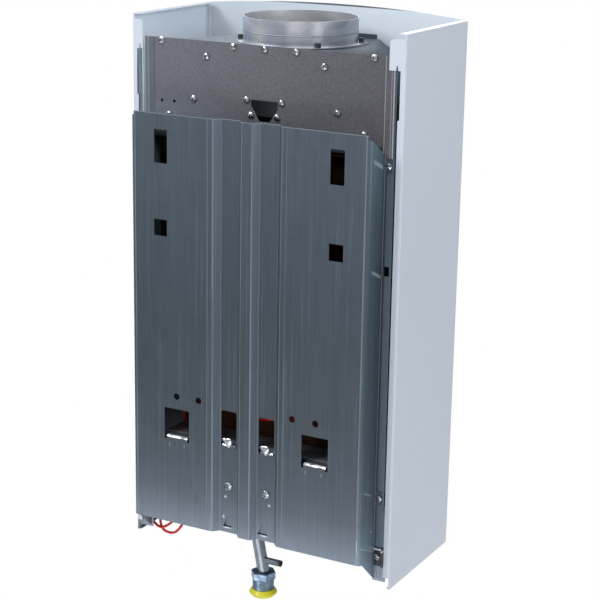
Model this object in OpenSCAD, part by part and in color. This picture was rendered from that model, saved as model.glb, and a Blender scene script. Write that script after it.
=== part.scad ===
// Wall-hung instantaneous gas water heater with an open flue, built to be seen from its wall side.
// Datum for every module: x runs across, y = 0 is the wall and the room is at -y,
// z = 0 is the lower edge of the casing's sides. in_frame() moves a piece to the hanging point.
// Sheet pieces are bent profiles, so each one is a single strip of metal with true bend radii.

/* [Casing] */
// Width over the white casing
casing_w = 350; // [346:1:360]
// Height of the casing's side panels
casing_h = 642; // [636:1:660]
// Depth from the wall to the front edge of the side panels
casing_side_depth = 203; // [200:1:210]
// How far the front panel bows out at its middle
front_bow = 17; // [10:1:30]
// How far the front panel's top edge arches above the sides
front_arch = 7; // [2:1:10]
// How far its bottom edge drops below the sides
front_drop = 6; // [2:1:10]
// Thickness of the casing's sheet
casing_t = 0.8; // [0.6:0.1:1.2]
// Width of the flange's full upper tab on the left side, measured from the side
flange_tab_left = 13.5; // [12:0.5:15]
// Width of the same tab on the right side
flange_tab_right = 19.5; // [18:0.5:21]
// Width of the flange below the slot
flange_w = 8; // [7.5:0.5:10]

/* [Wall plate] */
// Distance from the casing's side to the plate's side wall
plate_inset = 20.5; // [19:0.5:22]
// Height of the plate's lower edge
plate_bottom = 38.5; // [34:0.5:42]
// Height of the plate's upper edge
plate_top = 536; // [530:1:540]
// Thickness of the galvanised sheet
plate_t = 1; // [0.8:0.1:1.5]
// Depth of the plate's side walls
plate_depth = 36.2; // [34:0.2:36.6]
// Depth of the two pressed channels
channel_depth = 7.8; // [6:0.1:9]
// Half width of the rib between the channels, where it meets the wall
rib_half = 6.7; // [6:0.1:8]
// Where the channel floor starts, from the middle
floor_in = 13.3; // [12:0.1:14]
// Where the channel floor ends, from the middle
floor_out = 37.5; // [36:0.1:39]
// Where the channel's outer wall meets the panel
channel_edge = 43.9; // [43:0.1:46]
// Width of the hanging slots
slot_w = 17.6; // [14:0.1:20]
// Height of the hanging slots
slot_h = 39.1; // [34:0.1:42]
// Height of the middle of the hanging slots
slot_z = 498; // [490:1:500]
// Distance between the hanging slots
slot_pitch = 228; // [220:1:236]
// Diameter of the fixing holes
fixing_d = 8; // [6:0.5:9]
// Height of the fixing holes
fixing_z = 200; // [196:1:206]
// Distance between the outer fixing holes
fixing_outer = 186; // [180:1:192]
// Distance between the inner fixing holes
fixing_inner = 125.6; // [120:0.2:130]
// Width of the service windows
window_w = 34.4; // [30:0.2:36]
// Height of the service windows
window_h = 39.5; // [35:0.5:42]
// Height of the shelf tabs' top faces
shelf_z = 150; // [148:0.5:151]

/* [Draught hood] */
// Distance from the casing's side to the edge of the hood's flat back panel
hood_inset = 26.5; // [26:0.5:28]
// How far the hood's back panel steps in from its side flanges
hood_step = 2; // [1.6:0.1:2.4]
// Height of the back panel's upper edge
hood_top = 617; // [614:1:620]
// Thickness of the hood's sheet
hood_t = 0.8; // [0.6:0.1:1]
// Height of the hood's top, where the collar stands
hood_deck = 614; // [611:0.5:616]
// Space between the hood's front and the front edge of the casing's sides
hood_gap = 7; // [5:0.5:9]

/* [Flue collar] */
// Inner diameter of the flue collar
flue_d = 132; // [130:0.5:134]
// Wall of the flue collar
collar_t = 0.8; // [0.5:0.1:1.2]
// Height of the collar's rim
collar_top = 643.3; // [636:0.1:650]
// Distance from the wall to the collar's axis
flue_y = 121.8; // [120:0.1:123]

/* [Burner and heat exchanger] */
// Distance from the casing's side to the burner, the chamber and the fin block
core_inset = 60; // [59:0.5:63]
// Distance from the wall to the back of the burner, the chamber and the fin block
core_stand = 54; // [53:0.5:55]
// Space between their front and the front edge of the casing's sides
core_gap = 17; // [16:0.5:20]
// Lower edge of the burner frame
burner_bottom = 106; // [105:0.5:108]
// Top of the combustion chamber
chamber_top = 440; // [430:1:450]
// Top of the fin block
exchanger_top = 503; // [502:0.5:504]
// Number of burner bars
bar_count = 13; // [9:1:13]
// Number of fins
fin_count = 34; // [20:1:36]
// Diameter of the water pipes
water_pipe_d = 14; // [12:1:14]

/* [Valves and connections] */
// Height of the valves' axis
valve_z = 66; // [64:0.5:68]
// Distance of each water connection from the middle
water_x = 68; // [66:1:72]
// Diameter over the water threads, half inch
water_thread_d = 20.9; // [19:0.1:22]
// Height of the water threads' ends
water_end = 12; // [10:1:16]
// Diameter of the gas pipe
gas_pipe_d = 15; // [12:0.5:16]
// Distance from the wall to the gas connection
gas_y = 60; // [58:1:62]
// Diameter over the gas thread, three quarter inch
gas_thread_d = 26.4; // [24:0.1:28]
// Height of the gas thread's end
gas_end = -49; // [-53:1:-46]
// Width of the union nut across its flats
union_hex = 27; // [26:0.5:30]
// Distance of the igniter from the middle
igniter_x = 68; // [64:1:72]
// Diameter of the knobs
knob_d = 40; // [34:1:44]
// Travel of the igniter's button
button_travel = 5; // [3:0.5:6]

/* [Hidden] */

$fn = 48;
eps = 0.01;
// Clearance between pieces that lie side by side
gap = 0.3;
// Running clearance of spindles and pins, on the radius
run_gap = 0.05;
bend_steps = 4;

// Places worked out from the driving sizes
half_casing = casing_w / 2;
half_plate = half_casing - plate_inset;
plate_w = 2 * half_plate;
half_hood = half_casing - hood_inset;
hood_w = 2 * half_hood;
hood_front = casing_side_depth - hood_gap;
half_core = half_casing - core_inset;
core_w = 2 * half_core;
core_d = casing_side_depth - core_stand - core_gap;
plate_bend = 4;
core_y = -(core_stand + core_d / 2);
core_back = core_y + core_d / 2;
core_front = core_y - core_d / 2;
core_bend = 8;
floor_mid = (floor_in + floor_out) / 2;
rail_face = -(plate_depth + plate_t);
rail_t = 1.2;
rail_x = half_plate - 2.9;
rail_w_right = 13;
rail_w_left = 18.5;
rail_depth = 20;
rail_bottom = 8;
rail_top = 600;
hood_flange = rail_face + hood_t;
casing_back = -(hood_flange + casing_t);
hood_back = hood_step - hood_flange;
tab_w = 7.5;
tab_screw_x = half_plate + tab_w * 0.55;
tab_h = 16;
tab_z = [slot_z, 110.7];
shelf_reach = 24;
shelf_tab_w = 28;
channel_tab_w = 17;
channel_window_w = 21;
channel_window_top = 191.5;
window_bottom = shelf_z - 5.3;
window_x = 92.9;
square_w = 17.7;
square_h = 19.5;
square_z = 402.6;
square_x = 114.5;

// Sheet outlines

function unit(v) = v / norm(v);
function left_of(v) = [-v[1], v[0]];
function turn(a, b) = a[0] * b[1] - a[1] * b[0];

// Points and left-hand normals along one bend of centreline radius r at corner b
function bend(a, b, c, r) =
    let (
        u = unit(b - a), w = unit(c - b),
        side = turn(u, w) > 0 ? 1 : -1,
        angle = acos(max(-1, min(1, u * w))),
        back = r * tan(angle / 2),
        centre = b - u * back + left_of(u) * r * side
    )
    angle < 0.01 || r == 0
        ? [[b, unit(left_of(u) + left_of(w)) / cos(angle / 2)]]
        : [for (i = [0 : bend_steps])
            let (
                f = side * angle * i / bend_steps,
                n = [left_of(u)[0] * cos(f) - left_of(u)[1] * sin(f),
                     left_of(u)[0] * sin(f) + left_of(u)[1] * cos(f)]
            )
            [centre - n * r * side, n]];

function centreline(p, r) = concat(
    [[p[0], left_of(unit(p[1] - p[0]))]],
    [for (i = [1 : len(p) - 2]) each bend(p[i - 1], p[i], p[i + 1], r[i - 1])],
    [[p[len(p) - 1], left_of(unit(p[len(p) - 1] - p[len(p) - 2]))]]);

// A strip of sheet bent along points p, with centreline radius r[i] at each inner point
module strip(p, r, t) {
    line = centreline(p, r);
    polygon(concat(
        [for (q = line) q[0] + q[1] * t / 2],
        [for (i = [len(line) - 1 : -1 : 0]) line[i][0] - line[i][1] * t / 2]));
}

function mirror_path(p) = concat(p, [for (i = [len(p) - 1 : -1 : 0]) [-p[i][0], p[i][1]]]);
function mirror_list(r) = concat(r, [for (i = [len(r) - 1 : -1 : 0]) r[i]]);

// Stands a y, z outline up and gives it a width along x about x = 0
module across(w) {
    rotate([90, 0, 90]) translate([0, 0, -w / 2]) linear_extrude(height = w) children();
}
// Stands an x, z outline up and gives it a depth from y0 to y1
module along_y(y0, y1) {
    translate([0, y1, 0]) rotate([90, 0, 0]) linear_extrude(height = y1 - y0) children();
}
module both_sides() {
    children();
    mirror([1, 0, 0]) children();
}
module in_frame() {
    translate([0, 0, -slot_z]) children();
}
module block(x0, x1, y0, y1, z0, z1) {
    translate([x0, y0, z0]) cube([x1 - x0, y1 - y0, z1 - z0]);
}
// A rod from a to b
module rod(a, b, r) {
    d = b - a;
    translate(a) rotate([0, acos(d[2] / norm(d)), atan2(d[1], d[0])]) cylinder(r = r, h = norm(d));
}
module rounded_box(w, d, r) {
    union() {
        square([w - 2 * r, d], center = true);
        square([w, d - 2 * r], center = true);
        for (x = [-1, 1], y = [-1, 1])
            translate([x * (w / 2 - r), y * (d / 2 - r)]) circle(r = r);
    }
}

// A tube along corner points, each corner an elbow of centreline radius b
function cross3(a, b) = [a[1]*b[2] - a[2]*b[1], a[2]*b[0] - a[0]*b[2], a[0]*b[1] - a[1]*b[0]];
function elbow_back(a, b, c, r) = r * tan(acos(max(-1, min(1, unit(b - a) * unit(c - b)))) / 2);

module tube_section(r_out, r_in) {
    if (r_in > 0)
        difference() {
            circle(r = r_out);
            circle(r = r_in);
        }
    else
        circle(r = r_out);
}
module tube_leg(a, b, r_out, r_in) {
    d = b - a;
    translate(a) rotate([0, acos(d[2] / norm(d)), atan2(d[1], d[0])])
        linear_extrude(height = norm(d)) tube_section(r_out, r_in);
}
module elbow(a, b, c, bend_r, r_out, r_in) {
    u = unit(b - a);
    w = unit(c - b);
    angle = acos(max(-1, min(1, u * w)));
    n = unit(w - u * (w * u));
    start = b - u * bend_r * tan(angle / 2);
    centre = start + n * bend_r;
    e3 = cross3(-n, u);
    multmatrix([
        [-n[0], u[0], e3[0], centre[0]],
        [-n[1], u[1], e3[1], centre[1]],
        [-n[2], u[2], e3[2], centre[2]],
        [0, 0, 0, 1]])
        rotate_extrude(angle = angle) translate([bend_r, 0]) tube_section(r_out, r_in);
}
module pipe(p, bend_r, r_out, r_in) {
    last = len(p) - 1;
    for (i = [0 : last - 1]) {
        u = unit(p[i + 1] - p[i]);
        s = i == 0 ? p[0] : p[i] + u * elbow_back(p[i - 1], p[i], p[i + 1], bend_r);
        e = i == last - 1 ? p[last] : p[i + 1] - u * elbow_back(p[i], p[i + 1], p[i + 2], bend_r);
        tube_leg(s, e, r_out, r_in);
    }
    for (i = [1 : last - 1]) elbow(p[i - 1], p[i], p[i + 1], bend_r, r_out, r_in);
}

// A soft lead: a smooth curve through hand-picked points, swept as one closed skin
function curve_point(p, i, t) =
    let (
        a = p[max(0, i - 1)], b = p[i], c = p[i + 1], d = p[min(len(p) - 1, i + 2)]
    )
    0.5 * (2 * b + (c - a) * t + (2 * a - 5 * b + 4 * c - d) * t * t
        + (3 * b - a - 3 * c + d) * t * t * t);
function curve(p, n) = concat(
    [for (i = [0 : len(p) - 2]) for (j = [0 : n - 1]) curve_point(p, i, j / n)],
    [p[len(p) - 1]]);
function tangent(c, i) = unit(c[min(len(c) - 1, i + 1)] - c[max(0, i - 1)]);
// Carries a sideways vector along the curve so that the skin never twists
function carried(c, i, v) =
    let (
        t = tangent(c, i),
        flat = unit(v - t * (v * t))
    )
    i == len(c) - 1 ? [flat] : concat([flat], carried(c, i + 1, flat));

module lead(p, r, steps, sides) {
    c = curve(p, steps);
    side = carried(c, 0, [0.31, 0.92, 0.17]);
    rings = len(c);
    pts = [for (i = [0 : rings - 1])
        let (a = side[i], b = cross3(tangent(c, i), a))
        for (k = [0 : sides - 1]) c[i] + r * (a * cos(360 * k / sides) + b * sin(360 * k / sides))];
    faces = concat(
        [[for (k = [0 : sides - 1]) k]],
        [for (i = [0 : rings - 2], k = [0 : sides - 1])
            let (m = (k + 1) % sides)
            [i * sides + k, (i + 1) * sides + k, (i + 1) * sides + m]],
        [for (i = [0 : rings - 2], k = [0 : sides - 1])
            let (m = (k + 1) % sides)
            [i * sides + k, (i + 1) * sides + m, i * sides + m]],
        [[for (k = [sides - 1 : -1 : 0]) (rings - 1) * sides + k]]);
    polyhedron(points = pts, faces = faces, convexity = 4);
}

// Screws

// A pan-head screw whose head's seat is at the origin, head towards +y
module pan_screw(head_d, head_h, shank_d, shank_l) {
    rotate([-90, 0, 0]) difference() {
        union() {
            rotate_extrude() difference() {
                union() {
                    square([head_d / 2, head_h * 0.55]);
                    translate([0, head_h * 0.55 - 0.1]) intersection() {
                        translate([0, -head_d * 0.72]) circle(r = head_d * 0.72 + head_h * 0.45 + 0.1);
                        square([head_d / 2, head_h]);
                    }
                }
                translate([-head_d, -1]) square([head_d, head_h + head_d]);
            }
            translate([0, 0, -shank_l]) cylinder(d = shank_d, h = shank_l + eps);
        }
        for (a = [0, 90]) rotate([0, 0, a + 20])
            translate([-head_d * 0.3, -head_d * 0.07, head_h * 0.5])
                cube([head_d * 0.6, head_d * 0.14, head_h]);
    }
}

screw_head_d = 7.4;
screw_head_h = 2.9;
screw_d = 3.5;
screw_hole_d = 3.8;
flange_head_d = 10;

// Back plate

module window_tab(x, w, face_y, z0) {
    translate([x, 0, 0]) across(w)
        strip([[face_y - plate_t / 2, z0], [face_y - plate_t / 2, shelf_z - plate_t / 2],
            [-shelf_reach, shelf_z - plate_t / 2]], [2.2], plate_t);
}
// A pressed three-sided lance, bent inwards, with an open mouth at its foot
lance_h = 14.3;
lance_z = 45.3;
lance_deep = 2.6;
module lance(x, w) {
    lance_tip = lance_z + lance_h + 1;
    intersection() {
        translate([x, 0, 0]) across(w)
            polygon([[-channel_depth - lance_deep, lance_z + 0.6], [-channel_depth - 0.2, lance_tip],
                [-channel_depth - plate_t + 0.2, lance_tip],
                [-channel_depth - lance_deep - plate_t, lance_z + 0.6]]);
        along_y(-2 * channel_depth, 0)
            polygon([[x - w / 2 + 0.3, lance_z], [x + w / 2 - 0.3, lance_z], [x, lance_tip + 0.5]]);
    }
}
module lance_mouth(x, w) {
    along_y(-channel_depth - 2 * plate_t, 0)
        polygon([[x - w / 2, lance_z], [x + w / 2, lance_z], [x, lance_z + lance_h]]);
}
lance_l = [26.6, 12];
lance_r = [-21.6, 14];
small_lance = [[31, 84.5], [-29, 85]];

module plate_profile() {
    half = [
        [half_plate - plate_t / 2, -plate_depth],
        [half_plate - plate_t / 2, -plate_t / 2],
        [channel_edge + 7, -plate_t / 2],
        [channel_edge, -plate_t / 2 - 0.7],
        [floor_out, -channel_depth - plate_t / 2],
        [floor_in, -channel_depth - plate_t / 2],
        [rib_half + 0.6, -plate_t / 2]];
    bends = [plate_bend, 3, 1.8, 1.6, 1.6, 1.8];
    strip(mirror_path(half), mirror_list(bends), plate_t);
}
module back_plate() {
    color("slategray") difference() {
        union() {
            linear_extrude(height = plate_top) plate_profile();
            for (s = [-1, 1]) {
                for (z = tab_z)
                    block(s > 0 ? half_plate - 0.5 : -half_plate - tab_w,
                        s > 0 ? half_plate + tab_w : 0.5 - half_plate,
                        -plate_depth - plate_t, -plate_depth, z - tab_h / 2, z + tab_h / 2);
            }
        }
        translate([0, 0, -1]) linear_extrude(height = plate_bottom + 1)
            square([plate_w - 12, 30], center = true);
        across(plate_w + 40)
            polygon([[10, -5], [10, plate_bottom], [-5, plate_bottom], [-41, 6], [-60, 6], [-60, -5]]);
        for (s = [-1, 1])
            translate([s * half_plate, 0, 0]) across(2 * plate_bend)
                polygon([[10, plate_top - 4.5], [-0.5, plate_top - 4.5], [-42, slot_z + tab_h / 2],
                    [-60, slot_z + tab_h / 2], [-60, plate_top + 10], [10, plate_top + 10]]);
        for (s = [-1, 1]) {
            translate([s * slot_pitch / 2, 0, slot_z]) cube([slot_w, 20, slot_h], center = true);
            translate([s * square_x, 0, square_z]) cube([square_w, 20, square_h], center = true);
            for (d = [fixing_outer, fixing_inner])
                translate([s * d / 2, 5, fixing_z]) rotate([90, 0, 0]) cylinder(d = fixing_d, h = 20);
            block(s * window_x - window_w / 2, s * window_x + window_w / 2, -10, 5,
                window_bottom, window_bottom + window_h);
            block(s * floor_mid - channel_window_w / 2, s * floor_mid + channel_window_w / 2, -20, 5,
                shelf_z - 3, channel_window_top - 2);
            along_y(-20, 5) translate([s * floor_mid, channel_window_top - 5])
                rounded_box(channel_window_w, 10, 3);
            translate([s * floor_mid, 5, 98]) rotate([90, 0, 0]) cylinder(d = 6.2, h = 30);
            for (z = tab_z)
                translate([s * tab_screw_x, 0, z]) rotate([90, 0, 0])
                    cylinder(d = screw_hole_d, h = 60);
        }
        lance_mouth(lance_l[0], lance_l[1]);
        lance_mouth(lance_r[0], lance_r[1]);
        for (p = small_lance)
            translate([p[0], -channel_depth, p[1]]) rotate([0, 35, 0]) cube([5, 6, 1.6], center = true);
        translate([-half_plate - 5, -30, 70]) cube([20, 4, 1.6]);
    }
    color("slategray") {
        for (s = [-1, 1]) {
            window_tab(s * window_x, shelf_tab_w, 0, window_bottom - 0.1);
            window_tab(s * floor_mid, channel_tab_w, -channel_depth, shelf_z - 3.1);
        }
        lance(lance_l[0], lance_l[1]);
        lance(lance_r[0], lance_r[1]);
    }
}

// The two rails that join the plate, the casing and the hood

module side_rail(w, foot_ear) {
    color("lightslategray") difference() {
        union() {
            translate([0, 0, rail_bottom]) linear_extrude(height = rail_top - rail_bottom)
                strip([[rail_x + w, rail_face - rail_t / 2], [rail_x + rail_t / 2, rail_face - rail_t / 2],
                    [rail_x + rail_t / 2, rail_face - rail_depth]], [2], rail_t);
            block(rail_x + w - 1, rail_x + w + foot_ear, rail_face - rail_t, rail_face, rail_bottom, 92);
        }
        for (z = concat(tab_z, [clip_z]))
            translate([tab_screw_x, 0, z]) rotate([90, 0, 0]) cylinder(d = screw_hole_d, h = 60);
        block(rail_x + 4, rail_x + 10.2, rail_face - 5, 0, 374, 385);
        for (x = [rail_x + 6, rail_x + 10])
            block(x, x + 1, rail_face - rail_t / 2, 0, 12, 21);
        block(rail_x - 1, rail_x + rail_t + 2, rail_face - 60, rail_face - rail_t, rail_bottom - 1, 56);
    }
}
clip_z = 38.5;
module side_rail_left() {
    side_rail(rail_w_left, 0);
}
module side_rail_right() {
    mirror([1, 0, 0]) side_rail(rail_w_right, 4);
}

// Valve bracket: bolted to the channel floors, with a shelf for the valves

bracket_t = 1.5;
bracket_face = -channel_depth - plate_t;
shelf_top = 43;
shelf_x0 = -water_x - 24;
shelf_x1 = water_x + 38;
shelf_front = casing_side_depth - 53;
module valve_bracket() {
    color("lightsteelblue") difference() {
        union() {
            block(-floor_out + 2, floor_out - 2, bracket_face - bracket_t, bracket_face,
                shelf_top - bracket_t, 118);
            block(shelf_x0, shelf_x1, -shelf_front, bracket_face, shelf_top - bracket_t, shelf_top);
            for (x = [shelf_x0, shelf_x1 - bracket_t])
                block(x, x + bracket_t, -shelf_front, bracket_face - 2, shelf_top - bracket_t,
                    shelf_top + 10);
        }
        for (s = [-1, 1]) {
            translate([s * floor_mid, 5, 98]) rotate([90, 0, 0]) cylinder(d = 5.2, h = 30);
            translate([s * water_x, water_y, 0]) cylinder(d = water_thread_d + 1, h = 60);
        }
        translate([gas_riser_x, -gas_y, 0]) cylinder(d = gas_pipe_d + 4, h = 60);
        for (l = [lance_l, lance_r])
            block(l[0] - l[1] / 2 - 1.5, l[0] + l[1] / 2 + 1.5, bracket_face - 3, bracket_face + 1,
                lance_z - 1, lance_z + lance_h + 2);
    }
}
water_y = -104;
gas_riser_x = 16.6;

module plate_screws() {
    color("gainsboro") {
        for (s = [-1, 1]) {
            translate([s * floor_mid, -channel_depth, 98]) pan_screw(flange_head_d, 3.4, 5, 8);
            for (z = tab_z)
                translate([s * tab_screw_x, -plate_depth, z])
                    pan_screw(screw_head_d, screw_head_h, screw_d, 6);
        }
    }
}

// Draught hood

hood_bottom = slot_z + tab_h / 2 + gap;
// Screws in the hood's back panel, right-hand half, and the one on the middle line
panel_screws = [[half_hood - 12.2, 3], [75.9, 17.3], [40.4, 4], [92.8, 67], [22.6, 62.2],
    [16.7, 79.3], [half_hood - 22, 88]];
function panel_screw_places() = concat(
    [for (p = panel_screws, s = [-1, 1]) [s * p[0], hood_top - p[1]]], [[0, hood_top - 4]]);

module vent_outline() {
    polygon([[-17.6, 555.3], [-17.6, 547], [-7, 531], [7, 531], [17.6, 547], [17.6, 555.3]]);
}
module hood_back_panel() {
    color("dimgray") difference() {
        translate([0, 0, hood_bottom]) linear_extrude(height = hood_top - hood_bottom)
            strip(mirror_path([
                [half_hood + 15, hood_flange - hood_t / 2],
                [half_hood + 3, hood_flange - hood_t / 2],
                [half_hood, -hood_back - hood_t / 2]]),
                mirror_list([1, 1]), hood_t);
        along_y(-60, 0) vent_outline();
        for (p = panel_screw_places())
            translate([p[0], 0, p[1]]) rotate([90, 0, 0]) cylinder(d = screw_hole_d, h = 60);
        for (x = [119.6, 136.4]) translate([x, 0, 544.4]) rotate([90, 0, 0]) cylinder(d = 3.2, h = 60);
        for (s = [-1, 1])
            block(s > 0 ? half_hood + 11 : -half_hood - 20, s > 0 ? half_hood + 20 : -half_hood - 11,
                -60, 0, 606, 640);
    }
}
module hood_screws() {
    color("gainsboro") for (p = panel_screw_places())
        translate([p[0], -hood_back, p[1]]) pan_screw(screw_head_d, screw_head_h, screw_d, 5);
}

hood_face = -hood_back - hood_t;
// The hood's outline: a box below, drawn in to a narrower deck.
// An inset t gives its inside, open at the foot
module hood_form(t) {
    open = t > 0 ? 1 : 0;
    hull() {
        block(t - half_hood - 1.5, half_hood + 1.5 - t, -hood_front + t, hood_face - t,
            exchanger_top - open, hood_slope_z);
        translate([0, 0, hood_deck - 1 - t]) linear_extrude(height = 1)
            polygon([[t - hood_ridge, hood_face - t], [t - hood_front_ridge, -hood_front + t],
                [hood_front_ridge - t, -hood_front + t], [hood_ridge - t, hood_face - t]]);
    }
}
hood_slope_z = 560;
hood_ridge = 135;
hood_front_ridge = 64;
flange_in = 14;
module hood_rear_flange() {
    along_y(hood_face - hood_t, hood_face) difference() {
        polygon([[-half_hood, exchanger_top], [half_hood, exchanger_top], [half_hood, hood_slope_z + 25],
            [half_hood - 5, hood_top - 1], [5 - half_hood, hood_top - 1], [-half_hood, hood_slope_z + 25]]);
        polygon([[-118, exchanger_top - 1], [118, exchanger_top - 1], [118, 542],
            [half_hood - flange_in, 550],
            [half_hood - flange_in, 574], [122, hood_deck - 22], [-122, hood_deck - 22],
            [flange_in - half_hood, 574], [flange_in - half_hood, 550], [-118, 542]]);
    }
}
module hood_shell() {
    color("lightslategray") difference() {
        union() {
            difference() {
                hood_form(0);
                hood_form(hood_t);
                block(-half_hood, half_hood, hood_face - 2, hood_face + 5, exchanger_top - 5, hood_slope_z);
            }
            hood_rear_flange();
            block(2 - hood_front_ridge, hood_front_ridge - 2, -hood_front, -hood_front + hood_t,
                hood_deck - 1, hood_deck + 5);
        }
        translate([0, -flue_y, hood_deck - 5]) cylinder(d = flue_d - 4, h = 20);
        block(-120, 120, -hood_front - 5, -hood_front + 5, 514, 546);
        for (p = panel_screw_places())
            translate([p[0], 0, p[1]]) rotate([90, 0, 0]) cylinder(d = screw_hole_d, h = 60);
    }
}
baffle_back = -62;
baffle_z = 533;
baffle_leg_x = 92.8;
module hood_baffle() {
    color("slategray") {
        across(hood_w + 1)
            strip([[baffle_back, baffle_z], [-118, baffle_z + 24], [-176, baffle_z]], [6], hood_t);
        for (s = [-1, 1]) difference() {
            translate([s * baffle_leg_x, 0, 0]) across(20)
                strip([[hood_face - hood_t / 2, baffle_z + 23], [hood_face - hood_t / 2, baffle_z + 0.4],
                    [baffle_back - 1, baffle_z + 0.4]], [1.2], hood_t);
            translate([s * baffle_leg_x, 0, hood_top - 67]) rotate([90, 0, 0])
                cylinder(d = screw_hole_d, h = 60);
        }
    }
}
collar_flange = 7.2;
module flue_collar() {
    color("silver") translate([0, -flue_y, hood_deck]) rotate_extrude($fn = 96) difference() {
        union() {
            translate([flue_d / 2, 0]) square([collar_t, collar_top - hood_deck]);
            translate([flue_d / 2, 0]) square([collar_flange, 0.8]);
            translate([flue_d / 2 + collar_t, 13]) circle(r = 0.6, $fn = 16);
        }
        translate([flue_d / 2 - 20, -5]) square([20, 60]);
    }
}
collar_screw_angles = [22, 135, 202, 315];
module collar_screws() {
    color("darkslategray") for (a = collar_screw_angles)
        translate([0, -flue_y, hood_deck + 0.8]) rotate([0, 0, a]) translate([flue_d / 2 + 4.2, 0, 0])
            cylinder(d = 6, h = 5.2);
}
module spill_sensor_bracket() {
    color("silver") difference() {
        block(-30, 30, hood_face - 1, hood_face, 530.5, hood_slope_z - gap);
        along_y(-60, 0) vent_outline();
        for (p = panel_screw_places())
            translate([p[0], 0, p[1]]) rotate([90, 0, 0]) cylinder(d = screw_hole_d, h = 60);
    }
}
module spill_sensor() {
    color("black") translate([24, hood_face - 1, 543]) rotate([90, 0, 0]) {
        cylinder(d = 9, h = 3);
        cylinder(d = 6, h = 9);
    }
}

// Heat exchanger, chamber and burner

sheet_copper = 0.8;
module core_outline(inset) {
    translate([0, core_y]) rounded_box(core_w - 2 * inset, core_d - 2 * inset, core_bend - inset);
}
module core_wall(z0, z1, t) {
    translate([0, 0, z0]) linear_extrude(height = z1 - z0) difference() {
        core_outline(0);
        core_outline(t);
    }
}
tube_d = 16;
tube_z = 470;
tube_pitch = (core_d - 36) / 3;
tube_y = [for (i = [-1.5 : 1 : 1.5]) core_y + i * tube_pitch];
module tube_holes(d) {
    for (y = tube_y) translate([-200, y, tube_z]) rotate([0, 90, 0]) cylinder(d = d, h = 400);
}
module exchanger_shell() {
    color("peru") difference() {
        union() {
            core_wall(chamber_top, exchanger_top, sheet_copper);
            translate([0, 0, exchanger_top - 1]) linear_extrude(height = 1) difference() {
                translate([0, (hood_face - hood_front) / 2])
                    square([hood_w + 3, hood_front + hood_face], center = true);
                core_outline(sheet_copper);
            }
        }
        tube_holes(tube_d + 0.1);
    }
}
fin_t = 0.6;
fin_span = core_w - 14;
module exchanger_fins() {
    pitch = fin_span / (fin_count - 1);
    color("peru") difference() {
        for (i = [0 : fin_count - 1])
            block(-fin_span / 2 + i * pitch - fin_t / 2, -fin_span / 2 + i * pitch + fin_t / 2,
                core_front + sheet_copper + gap, core_back - sheet_copper - gap, chamber_top + 4,
                    exchanger_top - 6);
        tube_holes(tube_d + 0.1);
    }
}
tube_reach = half_core + 3;
module exchanger_tubes() {
    color("peru") {
        for (y = tube_y) tube_leg([-tube_reach, y, tube_z],
            [tube_reach, y, tube_z], tube_d / 2, tube_d / 2 - 1);
        for (e = [[0, 1], [1, -1], [2, 1]])
            translate([e[1] * tube_reach, (tube_y[e[0]] + tube_y[e[0] + 1]) / 2, tube_z])
                rotate([0, 0, e[1] > 0 ? -90 : 90])
                    rotate_extrude(angle = 180) translate([tube_pitch / 2, 0])
                        tube_section(tube_d / 2, tube_d / 2 - 1);
    }
}
frame_top = shelf_z + 1;
module combustion_chamber() {
    color("sienna") core_wall(frame_top, chamber_top, sheet_copper);
}
pipe_r = water_pipe_d / 2;
pipe_bend = 16;
coil_x = half_core + pipe_r + gap;
coil_back = core_back + pipe_r + gap;
coil_front = core_front - pipe_r - gap;
coil_low = 250;
coil_high = 330;
outlet_x = water_x + 32;
module chamber_coil() {
    color("peru") pipe([
        [outlet_x, water_y, valve_z], [coil_x, water_y, valve_z], [coil_x, water_y, coil_low],
        [coil_x, coil_back, coil_low], [-coil_x, coil_back, coil_low], [-coil_x, coil_front, coil_low],
        [coil_x, coil_front, coil_low], [coil_x, coil_front, coil_high],
        [-coil_x - 9, coil_front, coil_high], [-coil_x - 9, tube_y[0], coil_high],
        [-coil_x - 9, tube_y[0], tube_z], [-tube_reach, tube_y[0], tube_z]], 9, pipe_r, pipe_r - 1);
}
hot_x = -coil_x - 16.5;
nipple_top = shelf_top + 16;
nipple_hex = 26;
nipple_hex_h = 6;
// The threaded end under the shelf, with the hexagon that seats on the shelf
module water_thread() {
    thread_top = shelf_top - bracket_t - nipple_hex_h;
    translate([0, 0, water_end]) cylinder(d = water_thread_d, h = thread_top - water_end);
    translate([0, 0, thread_top]) cylinder(d = nipple_hex / cos(30), h = nipple_hex_h, $fn = 6);
    translate([0, 0, thread_top + 1]) cylinder(d = water_thread_d - 0.8, h = shelf_top - thread_top - 1);
}
module hot_water_pipe() {
    color("peru") pipe([
        [-tube_reach, tube_y[3], tube_z], [hot_x, tube_y[3], tube_z], [hot_x, tube_y[3], nipple_top + 24],
        [hot_x, water_y, nipple_top + 24], [-water_x, water_y, nipple_top + 24],
            [-water_x, water_y, nipple_top]],
        9, pipe_r, pipe_r - 1);
}
module nipple(top) {
    difference() {
        union() {
            water_thread();
            translate([0, 0, shelf_top]) cylinder(d = nipple_hex / cos(30), h = 9, $fn = 6);
            translate([0, 0, shelf_top + 9]) cylinder(r = pipe_r + 2, h = top - shelf_top - 9);
        }
        translate([0, 0, water_end - 1]) cylinder(r = pipe_r - 1, h = top - water_end + 2);
    }
}
module hot_nipple() {
    color("darkkhaki") translate([-water_x, water_y, 0]) nipple(nipple_top);
}
module cold_nipple() {
    color("darkkhaki") translate([water_x, water_y, 0]) difference() {
        water_thread();
        translate([0, 0, water_end - 1]) cylinder(r = pipe_r - 1, h = 60);
    }
}

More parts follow.
